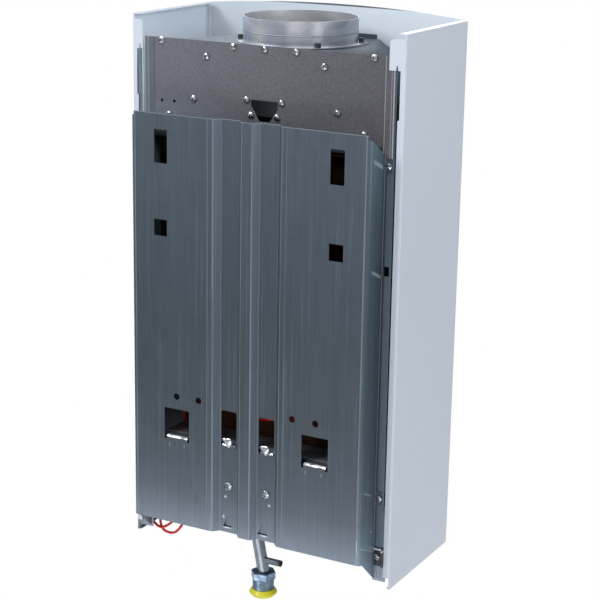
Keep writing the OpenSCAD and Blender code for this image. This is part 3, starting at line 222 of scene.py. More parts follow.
# %% Finishes
class Finish(Graph):
    """A material on a Principled BSDF, with helpers that add nodes to its graph."""

    def __init__(self, name, **constant):
        self.material = bpy.data.materials.new(name)
        self.material.use_nodes = True
        super().__init__(self.material.node_tree)
        self.shader = self.tree.nodes["Principled BSDF"]
        for socket, value in constant.items():
            self.shader.inputs[socket.replace("_", " ")].default_value = value

    def place(self, scale=(1, 1, 1)):
        """Where a point lies on the object, in metres, stretched by scale."""
        here = self.add("ShaderNodeTexCoord", output="Object")
        if scale == (1, 1, 1):
            return here
        return self.add("ShaderNodeVectorMath", {"operation": "MULTIPLY"}, {0: here, 1: scale})

    def axis(self, letter):
        return self.add("ShaderNodeSeparateXYZ", None, {0: self.place()}, letter)

    def facing(self, letter):
        """How far a face looks along an axis, from -1 to 1."""
        face = self.add("ShaderNodeNewGeometry", output="Normal")
        return self.add("ShaderNodeSeparateXYZ", None, {0: face}, letter)

    def inward(self, middle):
        """1 on faces that look towards a point, such as the inside of a box round it."""
        arm = self.add("ShaderNodeVectorMath", {"operation": "SUBTRACT"},
                       {0: middle, 1: self.place()})
        face = self.add("ShaderNodeNewGeometry", output="Normal")
        return self.add("ShaderNodeVectorMath", {"operation": "DOT_PRODUCT"}, {0: arm, 1: face},
                        "Value").between(0, 0.001)

    def noise(self, size, scale=(1, 1, 1), detail=3.0, roughness=0.5, warp=0.0):
        """Soft noise whose features are about size metres across."""
        return self.add("ShaderNodeTexNoise", None,
                        {"Vector": self.place(scale), "Scale": 1 / size, "Detail": detail,
                         "Roughness": roughness, "Distortion": warp}, "Fac")

    def cells(self, size, scale=(1, 1, 1)):
        """Cells about size metres across, each with one value between 0 and 1."""
        colour = self.add("ShaderNodeTexVoronoi", None,
                          {"Vector": self.place(scale), "Scale": 1 / size}, "Color")
        return self.add("ShaderNodeSeparateColor", None, {0: colour})

    def ramp(self, value, low, high, stops):
        """A colour that follows a list of (value, colour) between low and high."""
        places = [((place - low) / (high - low), colour) for place, colour in stops]
        return self.add("ShaderNodeValToRGB", {"stops": places},
                        {0: value.between(low, high, False)})

    def mix(self, share, first, second, blend="MIX"):
        """Mixes two colours; share is 0 for the first and 1 for the second."""
        first, second = (value if isinstance(value, Wire) else (*value, 1)
                         for value in (first, second))
        return self.add("ShaderNodeMix", {"data_type": "RGBA", "blend_type": blend},
                        {0: share, 6: first, 7: second}, 2)

    def speckle(self, tone, value, rows):
        """Lays colours on a tone in turn. A row is from, to, share and colour."""
        for low, high, share, colour in rows:
            tone = self.mix(value.between(low, high) * share, tone, colour)
        return tone

    def relief(self, height, depth):
        """A bump of the given depth, in metres, from a height between 0 and 1."""
        return self.add("ShaderNodeBump", None,
                        {"Height": height, "Distance": depth, "Strength": 1.0}, "Normal")

    def feed(self, **sockets):
        for name, value in sockets.items():
            self.tree.links.new(value.socket, self.shader.inputs[name.replace("_", " ")])
        return self


print("a finish can also do:", methods(Finish))

# %% [markdown]
# ## Colours as the eye reads them
# A colour picked from a screen is coded for the eye, and shaders work in amounts of light. The
# function below turns three screen values into those amounts, so that a grey of 128 renders as one.

# %% Screen colours
def shade(red, green, blue):
    """A screen colour, 0 to 255, as the linear numbers that shaders work in."""
    def linear(value):
        value /= 255
        return value / 12.92 if value <= 0.04045 else ((value + 0.055) / 1.055) ** 2.4
    return tuple(linear(value) for value in (red, green, blue))


print("middle grey is", round(shade(128, 128, 128)[0], 3))

# %% [markdown]
# ## The background
# The photograph has a plain white ground and soft light from all round. A white world would light
# the object too much, so the world is white only where it is looked at, which the Light Path node
# tells, and gives a weaker, slightly blue light to everything else.

# %% World
WHITE = (1, 1, 1, 1)
SKY_COLOUR = (0.93, 0.965, 1.0, 1)
SKY_STRENGTH = 0.50

world = bpy.data.worlds.new("studio")
bpy.context.scene.world = world
world.use_nodes = True
world.node_tree.nodes.clear()
sky = Graph(world.node_tree)
soft_light = sky.add("ShaderNodeBackground", None, {"Color": SKY_COLOUR, "Strength": SKY_STRENGTH})
plain_white = sky.add("ShaderNodeBackground", None, {"Color": WHITE, "Strength": 1.0})
both = sky.add("ShaderNodeMixShader", None,
               {"Fac": sky.seen_plainly(), 1: soft_light, 2: plain_white})
sky.add("ShaderNodeOutputWorld", None, {"Surface": both})
print("world strength", SKY_STRENGTH)

# %% [markdown]
# ## Lamps
# Light in the photograph is a little stronger from above and from the viewer's left. Point lights
# would throw hard shadows, so each lamp is a large rectangle, as a softbox is. The key lamp is the
# nearest to the picture's own light. The others fill the sides, the front, the hood and the foot.

# %% Lamps
MIDDLE = (0, -0.1, -0.15)
# Name, place, aim, width, height, power and colour
LAMPS = [
    ("key_lamp", (1.3, 1.7, 1.7), MIDDLE, 0.9, 0.9, 42, (1, 1, 1)),
    ("side_lamp", (-2.2, 0.5, 0.7), MIDDLE, 1.2, 2.0, 22, (0.95, 0.97, 1.0)),
    ("room_lamp", (0.4, -2.4, 1.2), MIDDLE, 2.0, 2.0, 30, (1, 1, 1)),
    ("top_lamp", (-0.2, 0.7, 1.5), (0, -0.2, 0.13), 0.9, 0.6, 9, (1, 1, 1)),
    ("low_lamp", (-0.4, 1.6, -1.1), (0, 0, -0.4), 1.6, 0.8, 9, (1, 1, 1)),
]
for name, place, aim, width, height, power, colour in LAMPS:
    data = bpy.data.lights.new(name, "AREA")
    data.shape = "RECTANGLE"
    data.size = width
    data.size_y = height
    data.energy = power
    data.color = colour
    holder = new_object(name, data)
    holder.location = place
    towards = Vector(aim) - Vector(place)
    holder.rotation_euler = towards.to_track_quat("-Z", "Y").to_euler()
print("lamps", len(LAMPS))

# %% [markdown]
# ## The floor
# The heater hangs on a wall, so the floor lies well below it. It is pale and catches the shadow.
# To the camera it is as white as the world, so that no horizon shows behind the object.

# %% Floor
FLOOR_HEIGHT = -1.35
FLOOR_SIZE = 12

bpy.ops.mesh.primitive_plane_add(size=FLOOR_SIZE, location=(0, 0, FLOOR_HEIGHT))
floor = bpy.context.object
floor.name = "floor"
ground = Finish("pale_floor", Roughness=0.9, Base_Color=(0.8, 0.8, 0.8, 1))
glow = ground.add("ShaderNodeEmission", None, {"Color": WHITE, "Strength": 1.0})
lit = Wire(ground, ground.shader.outputs[0])
surface = ground.add("ShaderNodeMixShader", None, {"Fac": ground.seen_plainly(), 1: lit, 2: glow})
ground.tree.links.new(surface.socket, ground.tree.nodes["Material Output"].inputs["Surface"])
floor.data.materials.append(ground.material)
print("floor at", FLOOR_HEIGHT)

# %% [markdown]
# ## Dressing the solids
# A solid whose shape is right keeps its mesh and only gets its finish. One helper files a finish
# under a short name and puts it on the nodes that wear it. What is still bare is counted, so that
# no node is forgotten.

# %% A helper that dresses nodes
finishes = {}
bare = set(nodes)


def dress(key, finish, *wearers):
    """Files a finish under a short name, and gives it to the nodes that wear it."""
    finishes[key] = finish.material
    for wearer in wearers:
        mesh = nodes[wearer].data
        mesh.materials.clear()
        mesh.materials.append(finish.material)
        for face in mesh.polygons:
            face.material_index = 0
        bare.discard(wearer)
    print(finish.material.name, "on", ", ".join(wearers) or "added pieces")


# %% [markdown]
# ## Galvanised sheet
# The rails, the hood and the brackets are sheet steel with a coat of zinc. Hot zinc sets in
# crystals, then handling clouds it and sliding rubs fine lines along it. A photographed texture
# would show the same stain on every piece, so cells and noise make each of these in metres. What
# is special to one piece, painted shade among it, comes in as a function, `wear`, which gets the
# tone and the roughness and gives both back.

# %% Galvanised sheet
# Sizes in metres
CRYSTALS, STAINS, GRAIN, RUBBED_LINES = 0.007, 0.12, 0.0012, 0.02


def galvanised(name, colour, light, rough=0.42, metal=0.55, specular=0.4, wear=None):
    """Zinc-coated sheet: faint crystals, cloudy stains, and thin rubbed lines along its length."""
    f = Finish(name, Metallic=metal, Specular_IOR_Level=specular)
    crystal = f.cells(CRYSTALS, (1, 1, 0.8))
    cloud = f.noise(STAINS, (1, 1, 0.6), 4)
    grain = f.noise(GRAIN, detail=2)
    rubbed = f.noise(RUBBED_LINES, (1, 1, 0.02), 5, 0.6).between(0.56, 0.72)
    tone = f.mix(cloud.between(0.3, 0.7), colour, light)
    tone = f.mix(crystal * 0.14, tone, (0.85, 0.92, 1.0), "MULTIPLY")
    tone = f.speckle(tone, grain, [(0.56, 0.72, 0.22, shade(150, 160, 168)),
                                   (0.44, 0.28, 0.22, shade(58, 66, 72))])
    tone = f.mix(rubbed * 0.08, tone, (0.55, 0.58, 0.62))
    dull = crystal * 0.07 + cloud * 0.12 + (rough - 0.09) - rubbed * 0.06
    # The function may paint shade as well as wear, as in the rail's seam
    if wear:
        tone, dull = wear(f, tone, dull)
    return f.feed(Base_Color=tone, Roughness=dull,
                  Normal=f.relief(grain * 0.6 + crystal * 0.4, 0.00003))


dress("bracket", galvanised("bracket_zinc", shade(150, 158, 165), shade(176, 182, 188), 0.38, 0.7),
      "valve_bracket", "igniter_bracket", "ignition_bracket", "spill_sensor_bracket")
dress("shelf", galvanised("shelf_zinc", shade(104, 110, 120), shade(136, 144, 156), 0.36, 0.5),
      "burner_frame")
dress("baffle", galvanised("baffle_zinc", shade(50, 54, 60), shade(70, 76, 84), 0.5, 0.3),
      "hood_baffle")

# %% [markdown]
# ## The side rails
# A rail is folded round the plate's edge. Painted shade darkens the seam where the two meet, the
# foot below the plate is paler, and both ends are a little paler.

# %% Side rails
# Distance of the painted shade in the seam from the middle of the heater, and heights on the rail
SEAM_SHADE_FROM, SEAM_SHADE_TO = 0.1538, 0.1564
FOOT_FROM, FOOT_TO = -0.4712, -0.4700
PALE_ABOVE = (-0.10, 0.02)
PALE_BELOW = (-0.42, -0.32)


def rail_shade_and_tones(f, tone, dull):
    """Painted shade in the seam, a paler foot and paler ends."""
    height = f.axis("Z")
    seam = abs(f.axis("X")).within(SEAM_SHADE_FROM, SEAM_SHADE_TO, 0.0004, 0.0006)
    foot = 1 - height.between(FOOT_FROM, FOOT_TO)
    ends = height.between(*PALE_ABOVE).most(1 - height.between(*PALE_BELOW))
    tone = f.mix(foot * 0.7, tone, shade(158, 168, 184))
    # Painted shade: a dark line in the seam between rail and plate
    tone = f.mix(seam * (1 - foot) * 0.7, tone, shade(40, 46, 52))
    return f.mix(ends * 0.16, tone, shade(128, 148, 162)), dull


dress("rail", galvanised("rail_zinc", shade(94, 110, 120), shade(118, 134, 144), wear=rail_shade_and_tones),
      "side_rail_left", "side_rail_right")

# %% [markdown]
# ## The draught hood
# The hood's deck carries the flue. Its upper faces are darker and duller towards one end, and
# its inside is black with soot. A dot product tells the inside from the outside: a face that looks
# towards the middle of the hood is an inner one.

# %% Hood
HOOD_MIDDLE = (0, -0.09, 0.03)
# Where the deck darkens, along x, and the thickness of its sheet, by height
DECK_DARKENS = (-0.135, -0.030)
DECK_SHEET = (0.1135, 0.1140)


def hood_soot(f, tone, dull):
    """A deck that darkens and dulls towards one end, and soot below it."""
    end = 1 - f.axis("X").between(*DECK_DARKENS)
    deck = f.facing("Z").between(0.2, 0.5) * (end * 0.85 + 0.12)
    tone = f.mix(deck, tone, (0.30, 0.33, 0.36), "MULTIPLY")
    below = 1 - f.axis("Z").between(*DECK_SHEET)
    soot = f.inward(HOOD_MIDDLE).most(f.facing("Y").between(0.3, 0.6)) * below
    return f.mix(soot, tone, shade(38, 43, 50)), dull + end * 0.30


dress("hood_top", galvanised("hood_zinc", shade(88, 101, 114), shade(115, 128, 140), 0.44, 0.3,
                             0.2, hood_soot), "hood_shell")

# %% [markdown]
# ## The wall plate
# The plate takes up most of the picture, so it has the longest recipe. It is the same zinc, but
# its tone falls from the foot to the middle and rises again to the top. One ramp along z holds
# that course.

# %% Tone of the wall plate by height
# Height in metres, then the colour on screen
PLATE_TONES = [(z, shade(*tone)) for z, tone in (
    (-0.46, (132, 142, 155)), (-0.44, (117, 127, 139)), (-0.41, (97, 106, 115)),
    (-0.38, (87, 96, 104)), (-0.34, (79, 88, 96)), (-0.29, (74, 83, 90)),
    (-0.20, (72, 82, 89)), (-0.12, (76, 86, 95)), (-0.06, (79, 90, 99)), (0.03, (86, 97, 107)))]
TONES_FROM, TONES_TO = -0.47, 0.04
PLATE_FOOT = (-0.470, -0.425)
# A painted highlight along the plate's top edge, by height
PLATE_HEAD_HIGHLIGHT = (0.0370, 0.0374)
PLATE_EDGE = (0.1515, 0.1525)
# Sizes in metres
HAZE, ROLLING_STREAKS = 0.035, 0.004


def plate_tone(f, height, reach, crystal, cloud, grain):
    """Own colour, haze, streaks and grain, with a painted highlight along the top edge."""
    haze = f.noise(HAZE, (1, 1, 0.6), 4, 0.55, 0.5)
    streak = f.noise(ROLLING_STREAKS, (1, 1, 0.02), 4, 0.6)
    foot = 1 - height.between(*PLATE_FOOT)
    tone = f.ramp(height, TONES_FROM, TONES_TO, PLATE_TONES)
    tone = f.mix(cloud.between(0.25, 0.75) * 0.10, tone, (0.7, 0.75, 0.8), "MULTIPLY")
    tone = f.mix(reach.between(*PLATE_EDGE) * 0.8, tone, (0.86, 1.06, 1.08), "MULTIPLY")
    tone = f.mix(haze.between(0.45, 0.70) * foot * 0.30, tone, shade(176, 184, 198))
    stain = (haze.between(0.40, 0.70) * 0.6 + 0.4) * (1 - foot * 0.5)
    tone = f.mix(stain, tone, (0.88, 0.88, 0.88), "MULTIPLY")
    tone = f.speckle(tone, streak, [(0.5, 0.7, 0.12, shade(140, 150, 160)),
                                    (0.48, 0.30, 0.20, shade(54, 62, 68))])
    # Painted highlight along the top edge
    tone = f.mix(height.between(*PLATE_HEAD_HIGHLIGHT) * 0.5, tone, shade(150, 168, 174))
    tone = f.speckle(tone, grain, [(0.56, 0.72, 0.16, shade(120, 130, 138)),
                                   (0.44, 0.28, 0.20, shade(52, 60, 66))])
    return f.mix(crystal * 0.10, tone, (0.82, 0.86, 0.9), "MULTIPLY")


print("tones down the plate", len(PLATE_TONES))

# %% [markdown]
# ## Marks on the wall plate
# Painted highlights lie along the bends, and the plate has scratches, small smudges, and painted
# highlights at its lances and below its window tabs. They could be painted by hand on an image, but
# a table of measures stays sharp at any distance and can be changed by one number.

# %% Bends and scratches
# Painted highlights along the bends: distance from the middle, width and strength
BEND_HIGHLIGHTS = [(0.1490, 0.0012, 0.45), (0.0512, 0.0010, 0.25), (0.0446, 0.0010, 0.40),
         (0.0370, 0.0008, 0.22), (0.0132, 0.0008, 0.25), (0.0068, 0.0010, 0.40)]
# Scratches, smudges, and painted highlights at the lances and below the window tabs: x, z, length,
# half width, strength, colour
MARKS = [(-0.0600, -0.0104, 0.0520, 0.0005, 0.6, (0.025, 0.030, 0.035)),
         (-0.0602, -0.3173, 0.0266, 0.0005, 0.6, (0.030, 0.035, 0.040)),
         (-0.1496, -0.4365, 0.0184, 0.0004, 0.9, (0.75, 0.78, 0.82)),
         (0.1029, -0.3596, 0.0066, 0.0003, 0.8, (0.70, 0.74, 0.80)),
         (0.0827, -0.3588, 0.0066, 0.0003, 0.8, (0.70, 0.74, 0.80)),
         (-0.0813, -0.3594, 0.0056, 0.0004, 0.7, (0.70, 0.74, 0.80)),
         (-0.1020, -0.3589, 0.0056, 0.0004, 0.7, (0.70, 0.74, 0.80)),
         (0.0270, -0.4533, 0.0026, 0.0090, 0.9, (0.72, 0.76, 0.80)),
         (-0.0233, -0.4535, 0.0026, 0.0078, 0.9, (0.72, 0.76, 0.80)),
         (0.0322, -0.4402, 0.0050, 0.0022, 0.8, (0.66, 0.70, 0.74)),
         (0.0302, -0.4144, 0.0026, 0.0034, 0.9, (0.72, 0.76, 0.80)),
         (-0.0297, -0.4138, 0.0026, 0.0034, 0.9, (0.72, 0.76, 0.80)),
         (0.0729, -0.4046, 0.0128, 0.0014, 0.4, (0.030, 0.035, 0.045)),
         (0.0651, -0.4216, 0.0217, 0.0012, 0.4, (0.030, 0.035, 0.045))]
HIGHLIGHT_PATCHES = 0.03


def plate_marks(f, tone, height, side, reach):
    """Painted highlights on the bends, then the marks of the table, one after the other."""
    # Patches that break up the painted highlights on the bends
    wear = f.noise(HIGHLIGHT_PATCHES, (1, 1, 0.15), 3).between(0.2, 0.6)
    for place, width, strength in BEND_HIGHLIGHTS:
        line = reach.near(place, 0, width, False)
        tone = f.mix(line * wear * strength, tone, shade(168, 178, 188))
    for x, z, length, half, strength, colour in MARKS:
        mark = side.near(x, 0, half) * height.near(z, length * 0.3, length * 0.5)
        tone = f.mix(mark * strength, tone, colour)
    return tone


print("bends", len(BEND_HIGHLIGHTS), "marks", len(MARKS))

# %% [markdown]
# ## The plate's sides
# The plate's two sides are folded back towards the heater, so they show as narrow walls, with
# painted shade on their outer part and a pale cut edge. Where a rail's tabs press on them, painted
# highlights stand for their shine. The tabs lean, so a line across them is level in the picture
# when the height falls with the depth.

# %% Side walls of the plate
# Distance of the wall from the middle, and depths of its shaded part and its cut edge
SIDE_WALL = (0.1532, 0.1550, 0.0003)
WALL_SHADE = (-0.0310, -0.0285)
CUT_EDGE = (-0.0338, -0.0330)
WALL_HEAD = (-0.08, 0.02)
TAB_LEAN = 0.45
# Painted highlights where the tabs press: height, half width, from and to in depth, and strength
TAB_GLINTS = [(0.0124, 0.0035, -0.032, -0.004, 0.6), (-0.1099, 0.0030, -0.034, -0.006, 0.55),
              (-0.3697, 0.0018, -0.026, -0.002, 0.4), (-0.4379, 0.0012, -0.036, 0.002, 0.7)]


def plate_sides(f, tone, height, reach, depth):
    """The folded side walls, their painted shade and cut edges, and painted highlights at the tabs.
    """
    wall = reach.within(*SIDE_WALL)
    tone = f.mix(wall * height.between(*WALL_HEAD) * 0.22, tone, shade(128, 152, 160))
    tone = f.mix(wall * (1 - depth.between(*WALL_SHADE)) * 0.45, tone, shade(46, 52, 58))
    tone = f.mix(wall * (1 - depth.between(*CUT_EDGE)) * 0.8, tone, shade(140, 140, 148))
    leaning = height - depth * TAB_LEAN
    for z, half, low, high, strength in TAB_GLINTS:
        glint = leaning.near(z, half * 0.2, half) * wall * depth.within(low, high, 0.006)
        tone = f.mix(glint * strength, tone, shade(176, 192, 200))
    return tone


print("glints", len(TAB_GLINTS))

# %% [markdown]
# ## Highlights on the tab bends
# Below each window a tab is bent out of the sheet. A painted highlight lies along its bend, the
# brightest spot on the plate, and the bend also gets a smoother surface.

# %% Window tabs, and the whole wall plate
# Painted highlights on the bends of the tabs: middle, half width, back and front face
TAB_HIGHLIGHTS = [(0.0929, 0.0142, -0.0040, 0.001), (-0.0929, 0.0142, -0.0040, 0.001),
            (0.0285, 0.0070, -0.0118, -0.0068), (-0.0285, 0.0070, -0.0118, -0.0068)]
TAB_FOLD = (-0.3508, -0.3467, 0.0005)
CHANNEL = (0.060, 0.061)
# Sizes in metres
SHINE_PATCHES, PLATE_CRYSTALS, PLATE_STAINS, PLATE_GRAIN = 0.0040, 0.006, 0.15, 0.0019


def tab_highlight(f, height, side, depth):
    """A patchy painted highlight, 0 to 1, on the bends below the windows."""
    shine = None
    for middle, half, back_face, front_face in TAB_HIGHLIGHTS:
        here = side.near(middle, half - 0.0002, half) * depth.within(back_face, front_face, 0.0001)
        shine = here if shine is None else shine.most(here)
    patchy = f.noise(SHINE_PATCHES, detail=3).between(0.42, 0.58) * 0.85 + 0.15
    return shine * height.within(*TAB_FOLD) * patchy


def wall_plate_finish():
    """The sheet, lighter towards its foot, with scratches, smudges, painted highlights and shade.
    """
    f = Finish("wall_plate_zinc", Metallic=0.5, Specular_IOR_Level=0.4)
    height, side, depth = f.axis("Z"), f.axis("X"), f.axis("Y")
    reach = abs(side)
    crystal = f.cells(PLATE_CRYSTALS, (1, 1, 0.8))
    cloud = f.noise(PLATE_STAINS, (1, 1, 0.5), 4)
    grain = f.noise(PLATE_GRAIN, detail=3, roughness=0.65)
    tone = plate_tone(f, height, reach, crystal, cloud, grain)
    tone = plate_marks(f, tone, height, side, reach)
    tone = plate_sides(f, tone, height, reach, depth)
    # Painted light: slopes that face one side are lighter and bluer
    slope = (0 - f.facing("X")).between(0.15, 0.4) * (1 - reach.between(*CHANNEL))
    tone = f.mix(slope * 0.35, tone, shade(108, 124, 138))
    shine = tab_highlight(f, height, side, depth)
    # Painted highlight on the tab bends
    tone = f.mix(shine * 0.95, tone, (0.93, 0.95, 1.0))
    return f.feed(Base_Color=tone,
                  Roughness=crystal * 0.06 + cloud * 0.10 + 0.36 - shine * 0.2,
                  Normal=f.relief(grain * 0.6 + crystal * 0.4, 0.00003))


dress("wall", wall_plate_finish(), "back_plate")

# %% [markdown]
# ## The flue collar
# The collar is aluminium, spun on a lathe, so it has fine lines round it. Bare metal mirrors the
# room, and the room here is plain, so hazy bands in the colour stand in for what a real one would
# mirror, with painted shade on one side, a darker painted reflection band and painted light inside.
# A rolled bead runs round it a little above the deck, its colour darkened to dim its highlight.

# %% Flue collar
COLLAR_INSIDE = (0, -0.1218, 0.13)
# Painted shade on one side and a painted reflection band down the collar, along x, and the bead's
# height
COLLAR_SHADED_SIDE = (-0.068, -0.020)
COLLAR_REFLECTION_BAND = (-0.024, 0.020, 0.012, 0.014)
COLLAR_BEAD = (0.1276, 0.1303, 0.0010, 0.0008)


def collar_finish():
    """Turned aluminium: fine lines round it, hazy bands for reflections, painted shade and light.
    """
    f = Finish("collar_aluminium", Metallic=0.92, Anisotropic=0.3)
    side = f.axis("X")
    lines = f.noise(0.0005, (0.04, 0.04, 1), 3, 0.6)
    haze = f.noise(0.016, (0.5, 0.5, 1), 4, 0.5, 0.4)
    speck = f.noise(0.0012, detail=2)
    tone = f.mix(haze.between(0.32, 0.68), (0.62, 0.64, 0.68), (0.88, 0.89, 0.93))
    tone = f.mix(lines.between(0.35, 0.65) * 0.22, tone, (0.34, 0.35, 0.38))
    tone = f.mix(speck.between(0.6, 0.75) * 0.25, tone, (0.93, 0.94, 0.96))
    hollow = f.inward(COLLAR_INSIDE)
    # Painted shade on one side of the outside
    shaded_side = (1 - side.between(*COLLAR_SHADED_SIDE)) * (1 - hollow)
    tone = f.mix(shaded_side, tone, (0.50, 0.50, 0.52), "MULTIPLY")
    # Painted light: the inside is lighter
    tone = f.mix(hollow * 0.45, tone, (0.95, 0.96, 0.98))
    # A darker band, a painted reflection
    band = side.within(*COLLAR_REFLECTION_BAND) * (1 - hollow)
    tone = f.mix(band * 0.9, tone, (0.72, 0.74, 0.82), "MULTIPLY")
    # The bead's colour is darkened to dim its highlight
    bead = f.axis("Z").within(*COLLAR_BEAD)
    tone = f.mix(bead * 0.7, tone, (0.30, 0.31, 0.33))
    return f.feed(Base_Color=tone, Roughness=haze * 0.16 + lines * 0.08 + 0.20 + bead * 0.3,
                  Normal=f.relief(lines, 0.000015))


dress("collar", collar_finish(), "flue_collar")

# %% [markdown]
# ## The hood's back panel
# The panel behind the hood has a thin matte coat, warmer than the zinc, and is a little darker to
# one side. It has painted highlights and painted shade in lines at its bends, a painted reflection
# low on one side, and two small holes. The holes are real in the frame, but too small to read at
# this distance, so the finish darkens the metal round them.

# %% Hood back panel
# Painted highlights and painted shade in lines down the panel at its bends: x, half width,
# strength, colour
PANEL_BEND_LIGHT_AND_SHADE = [
    (0.1613, 0.0009, 0.9, shade(196, 204, 212)), (0.1588, 0.0007, 0.6, shade(186, 194, 202)),
    (0.1540, 0.0006, 0.4, shade(150, 158, 166)), (0.1510, 0.0012, 0.5, shade(94, 96, 104)),
    (0.1468, 0.0016, 0.5, shade(66, 66, 72)), (-0.1511, 0.0010, 0.7, shade(150, 156, 164)),
    (-0.1588, 0.0006, 0.6, shade(150, 150, 154)), (-0.1618, 0.0007, 0.7, shade(190, 192, 196))]
PANEL_HOLES = (0.1196, 0.1364)
HOLE_HEIGHT = 0.0464
HOLE_EDGE = (0.0018, 0.0023)
# The panel's edge, its corner with a painted reflection by height and x, and where the plate's
# painted shade covers it
PANEL_EDGE = (0.1520, 0.1530)
REFLECTION_BELOW, REFLECTION_BESIDE = (0.02, 0.07), (0.02, 0.10)
COVERED_BELOW, COVERED_BESIDE = (0.0190, 0.0196), (-0.1500, -0.1495)


def panel_finish():
    """A matte coat on sheet: speckled, one side darker, painted light and shade, a dark inner face.
    """
    f = Finish("hood_back_coat", Metallic=0.15, Specular_IOR_Level=0.3)
    side, height = f.axis("X"), f.axis("Z")
    cloud = f.noise(0.08, detail=4)
    grain = f.noise(0.0015, detail=3, roughness=0.6)
    tone = f.mix(side.between(-0.13, 0.13, False), shade(86, 86, 92), shade(102, 103, 111))
    tone = f.mix(cloud.between(0.3, 0.7) * 0.12, tone, (0.7, 0.7, 0.72), "MULTIPLY")
    tone = f.speckle(tone, grain, [(0.50, 0.70, 0.16, shade(150, 150, 156)),
                                   (0.50, 0.32, 0.30, shade(58, 57, 60))])
    tone = f.mix(side.between(*PANEL_EDGE) * 0.75, tone, shade(96, 105, 114))
    # Painted highlights and painted shade along the bends
    for place, half, strength, line in PANEL_BEND_LIGHT_AND_SHADE:
        tone = f.mix(side.near(place, half * 0.5, half) * strength, tone, line)
    for x in PANEL_HOLES:
        hole = (side - x).reach(height - HOLE_HEIGHT)
        tone = f.mix(1 - hole.between(*HOLE_EDGE), tone, shade(16, 16, 18))
    # Painted reflection: the low corner is lighter and bluer
    painted_reflection = (1 - height.between(*REFLECTION_BELOW)) * side.between(*REFLECTION_BESIDE)
    tone = f.mix(painted_reflection * 0.5, tone, shade(114, 126, 138))
    # Painted shade where the plate covers the panel, and on the dark inner face
    covered = (1 - height.between(*COVERED_BELOW)) * side.between(*COVERED_BESIDE)
    inner = (0 - f.facing("Y")).between(0.3, 0.6)
    tone = f.mix(inner.most(covered), tone, shade(40, 45, 52))
    return f.feed(Base_Color=tone, Roughness=cloud * 0.14 + 0.55,
                  Normal=f.relief(grain, 0.00005))


dress("hood_back", panel_finish(), "hood_back_panel")

# %% [markdown]
# ## The white casing
# The casing is stove-enamelled: a smooth coat under a thin clear gloss, with a slight orange-peel.
# Its inside is pale near the open top, where painted light makes it lighter to one side and on the
# side walls, and dark lower down. One material does both, with a mask for faces that look inward,
# because the two meet at a bare edge.

# %% Casing
CASING_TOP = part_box("casing")[1][2]
CASING_MIDDLE = (0, -0.10, 0)
INSIDE_PALE_ABOVE = (0.06, 0.10)
# Where the pale inside's painted light changes, along x, from one side's colour to the other's
LIT_FROM, LIT_TO = -0.12, 0.14
LIP = (-0.058, -0.044)
# The corner where a side turns into the front: its depth, then a painted highlight and painted
# shade, by distance from the middle
BEHIND_CORNER = (-0.1990, -0.1950)
CORNER_HIGHLIGHT = (0.1704, 0.1724, 0.0006)
CORNER_SHADE = (0.1720, 0.1726)
RIM = (CASING_TOP - 0.0028, CASING_TOP - 0.0018)


def casing_inside(f, tone):
    """Pale inside with painted light and shade at the top, dark lower, a pale lip and a dark rim.
    """
    side, height, depth = f.axis("X"), f.axis("Z"), f.axis("Y")
    inside = f.inward(CASING_MIDDLE)
    above = height.between(*INSIDE_PALE_ABOVE)
    pale_inside = inside * above
    dark = inside * (1 - above)
    # Painted light: the pale inside is lighter towards one side
    lit_inside_tone = f.mix(side.between(LIT_FROM, LIT_TO, False), shade(222, 233, 242),
                  shade(200, 209, 219))
    tone = f.mix(pale_inside, tone, lit_inside_tone)
    # Painted light: the inner side walls are lighter
    sides = (0 - f.facing("X")).between(0.5, 0.8).most(f.facing("X").between(0.5, 0.8))
    tone = f.mix(pale_inside * sides, tone, shade(232, 244, 255))
    tone = f.mix(dark, tone, shade(74, 77, 82))
    tone = f.mix(dark * depth.between(*LIP), tone, shade(150, 158, 168))
    # Painted highlight and painted shade where a side turns into the front
    corner = pale_inside * (1 - depth.between(*BEHIND_CORNER))
    reach = abs(side)
    tone = f.mix(reach.within(*CORNER_HIGHLIGHT) * corner * 0.6, tone, shade(246, 250, 252))
    tone = f.mix(reach.between(*CORNER_SHADE) * corner * 0.4, tone, shade(128, 150, 164))
    rim = height.between(*RIM) * inside.most(f.facing("Z").between(0.3, 0.6))
    return f.mix(rim * 0.9, tone, shade(66, 72, 80))


def enamel(name, colour):
    """Stove enamel: smooth, with a slight orange-peel under a clear gloss."""
    f = Finish(name, Metallic=0.0, Coat_Weight=0.25, Coat_Roughness=0.18)
    cloud = f.noise(0.25, detail=2)
    peel = f.noise(0.004, detail=1)
    tone = f.mix(cloud, colour, tuple(c * 0.94 for c in colour))
    return f.feed(Base_Color=casing_inside(f, tone), Roughness=cloud * 0.08 + 0.26,
                  Normal=f.relief(peel, 0.00003))


dress("casing", enamel("casing_enamel", shade(196, 203, 214)), "casing")

# %% [markdown]
# ## Screws and clips
# A pan-head screw is pressed and plated, then marked by the tool that turns it. Its finish is
# bright with dull patches a little smaller than the head. The clips at the foot are spring steel,
# darkened in oil, with a bright line near their upper edge.

# %% Screws and clips
CLIP_BRIGHT_LINE = (-0.4522, -0.4492, 0.0008)


def screw_finish():
    """Zinc on a small pressed head: bright, with the dull patches that the tool leaves."""
    f = Finish("screw_zinc", Metallic=0.95)
    patch = f.noise(0.0022, detail=2)
    fine = f.noise(0.0006, detail=2)
    tone = f.mix(patch.between(0.44, 0.58), (0.16, 0.17, 0.18), (0.62, 0.64, 0.67))
    tone = f.mix(fine.between(0.5, 0.7) * 0.3, tone, (0.85, 0.87, 0.9))
    return f.feed(Base_Color=tone, Roughness=patch * 0.2 + 0.18, Normal=f.relief(patch, 0.00018))


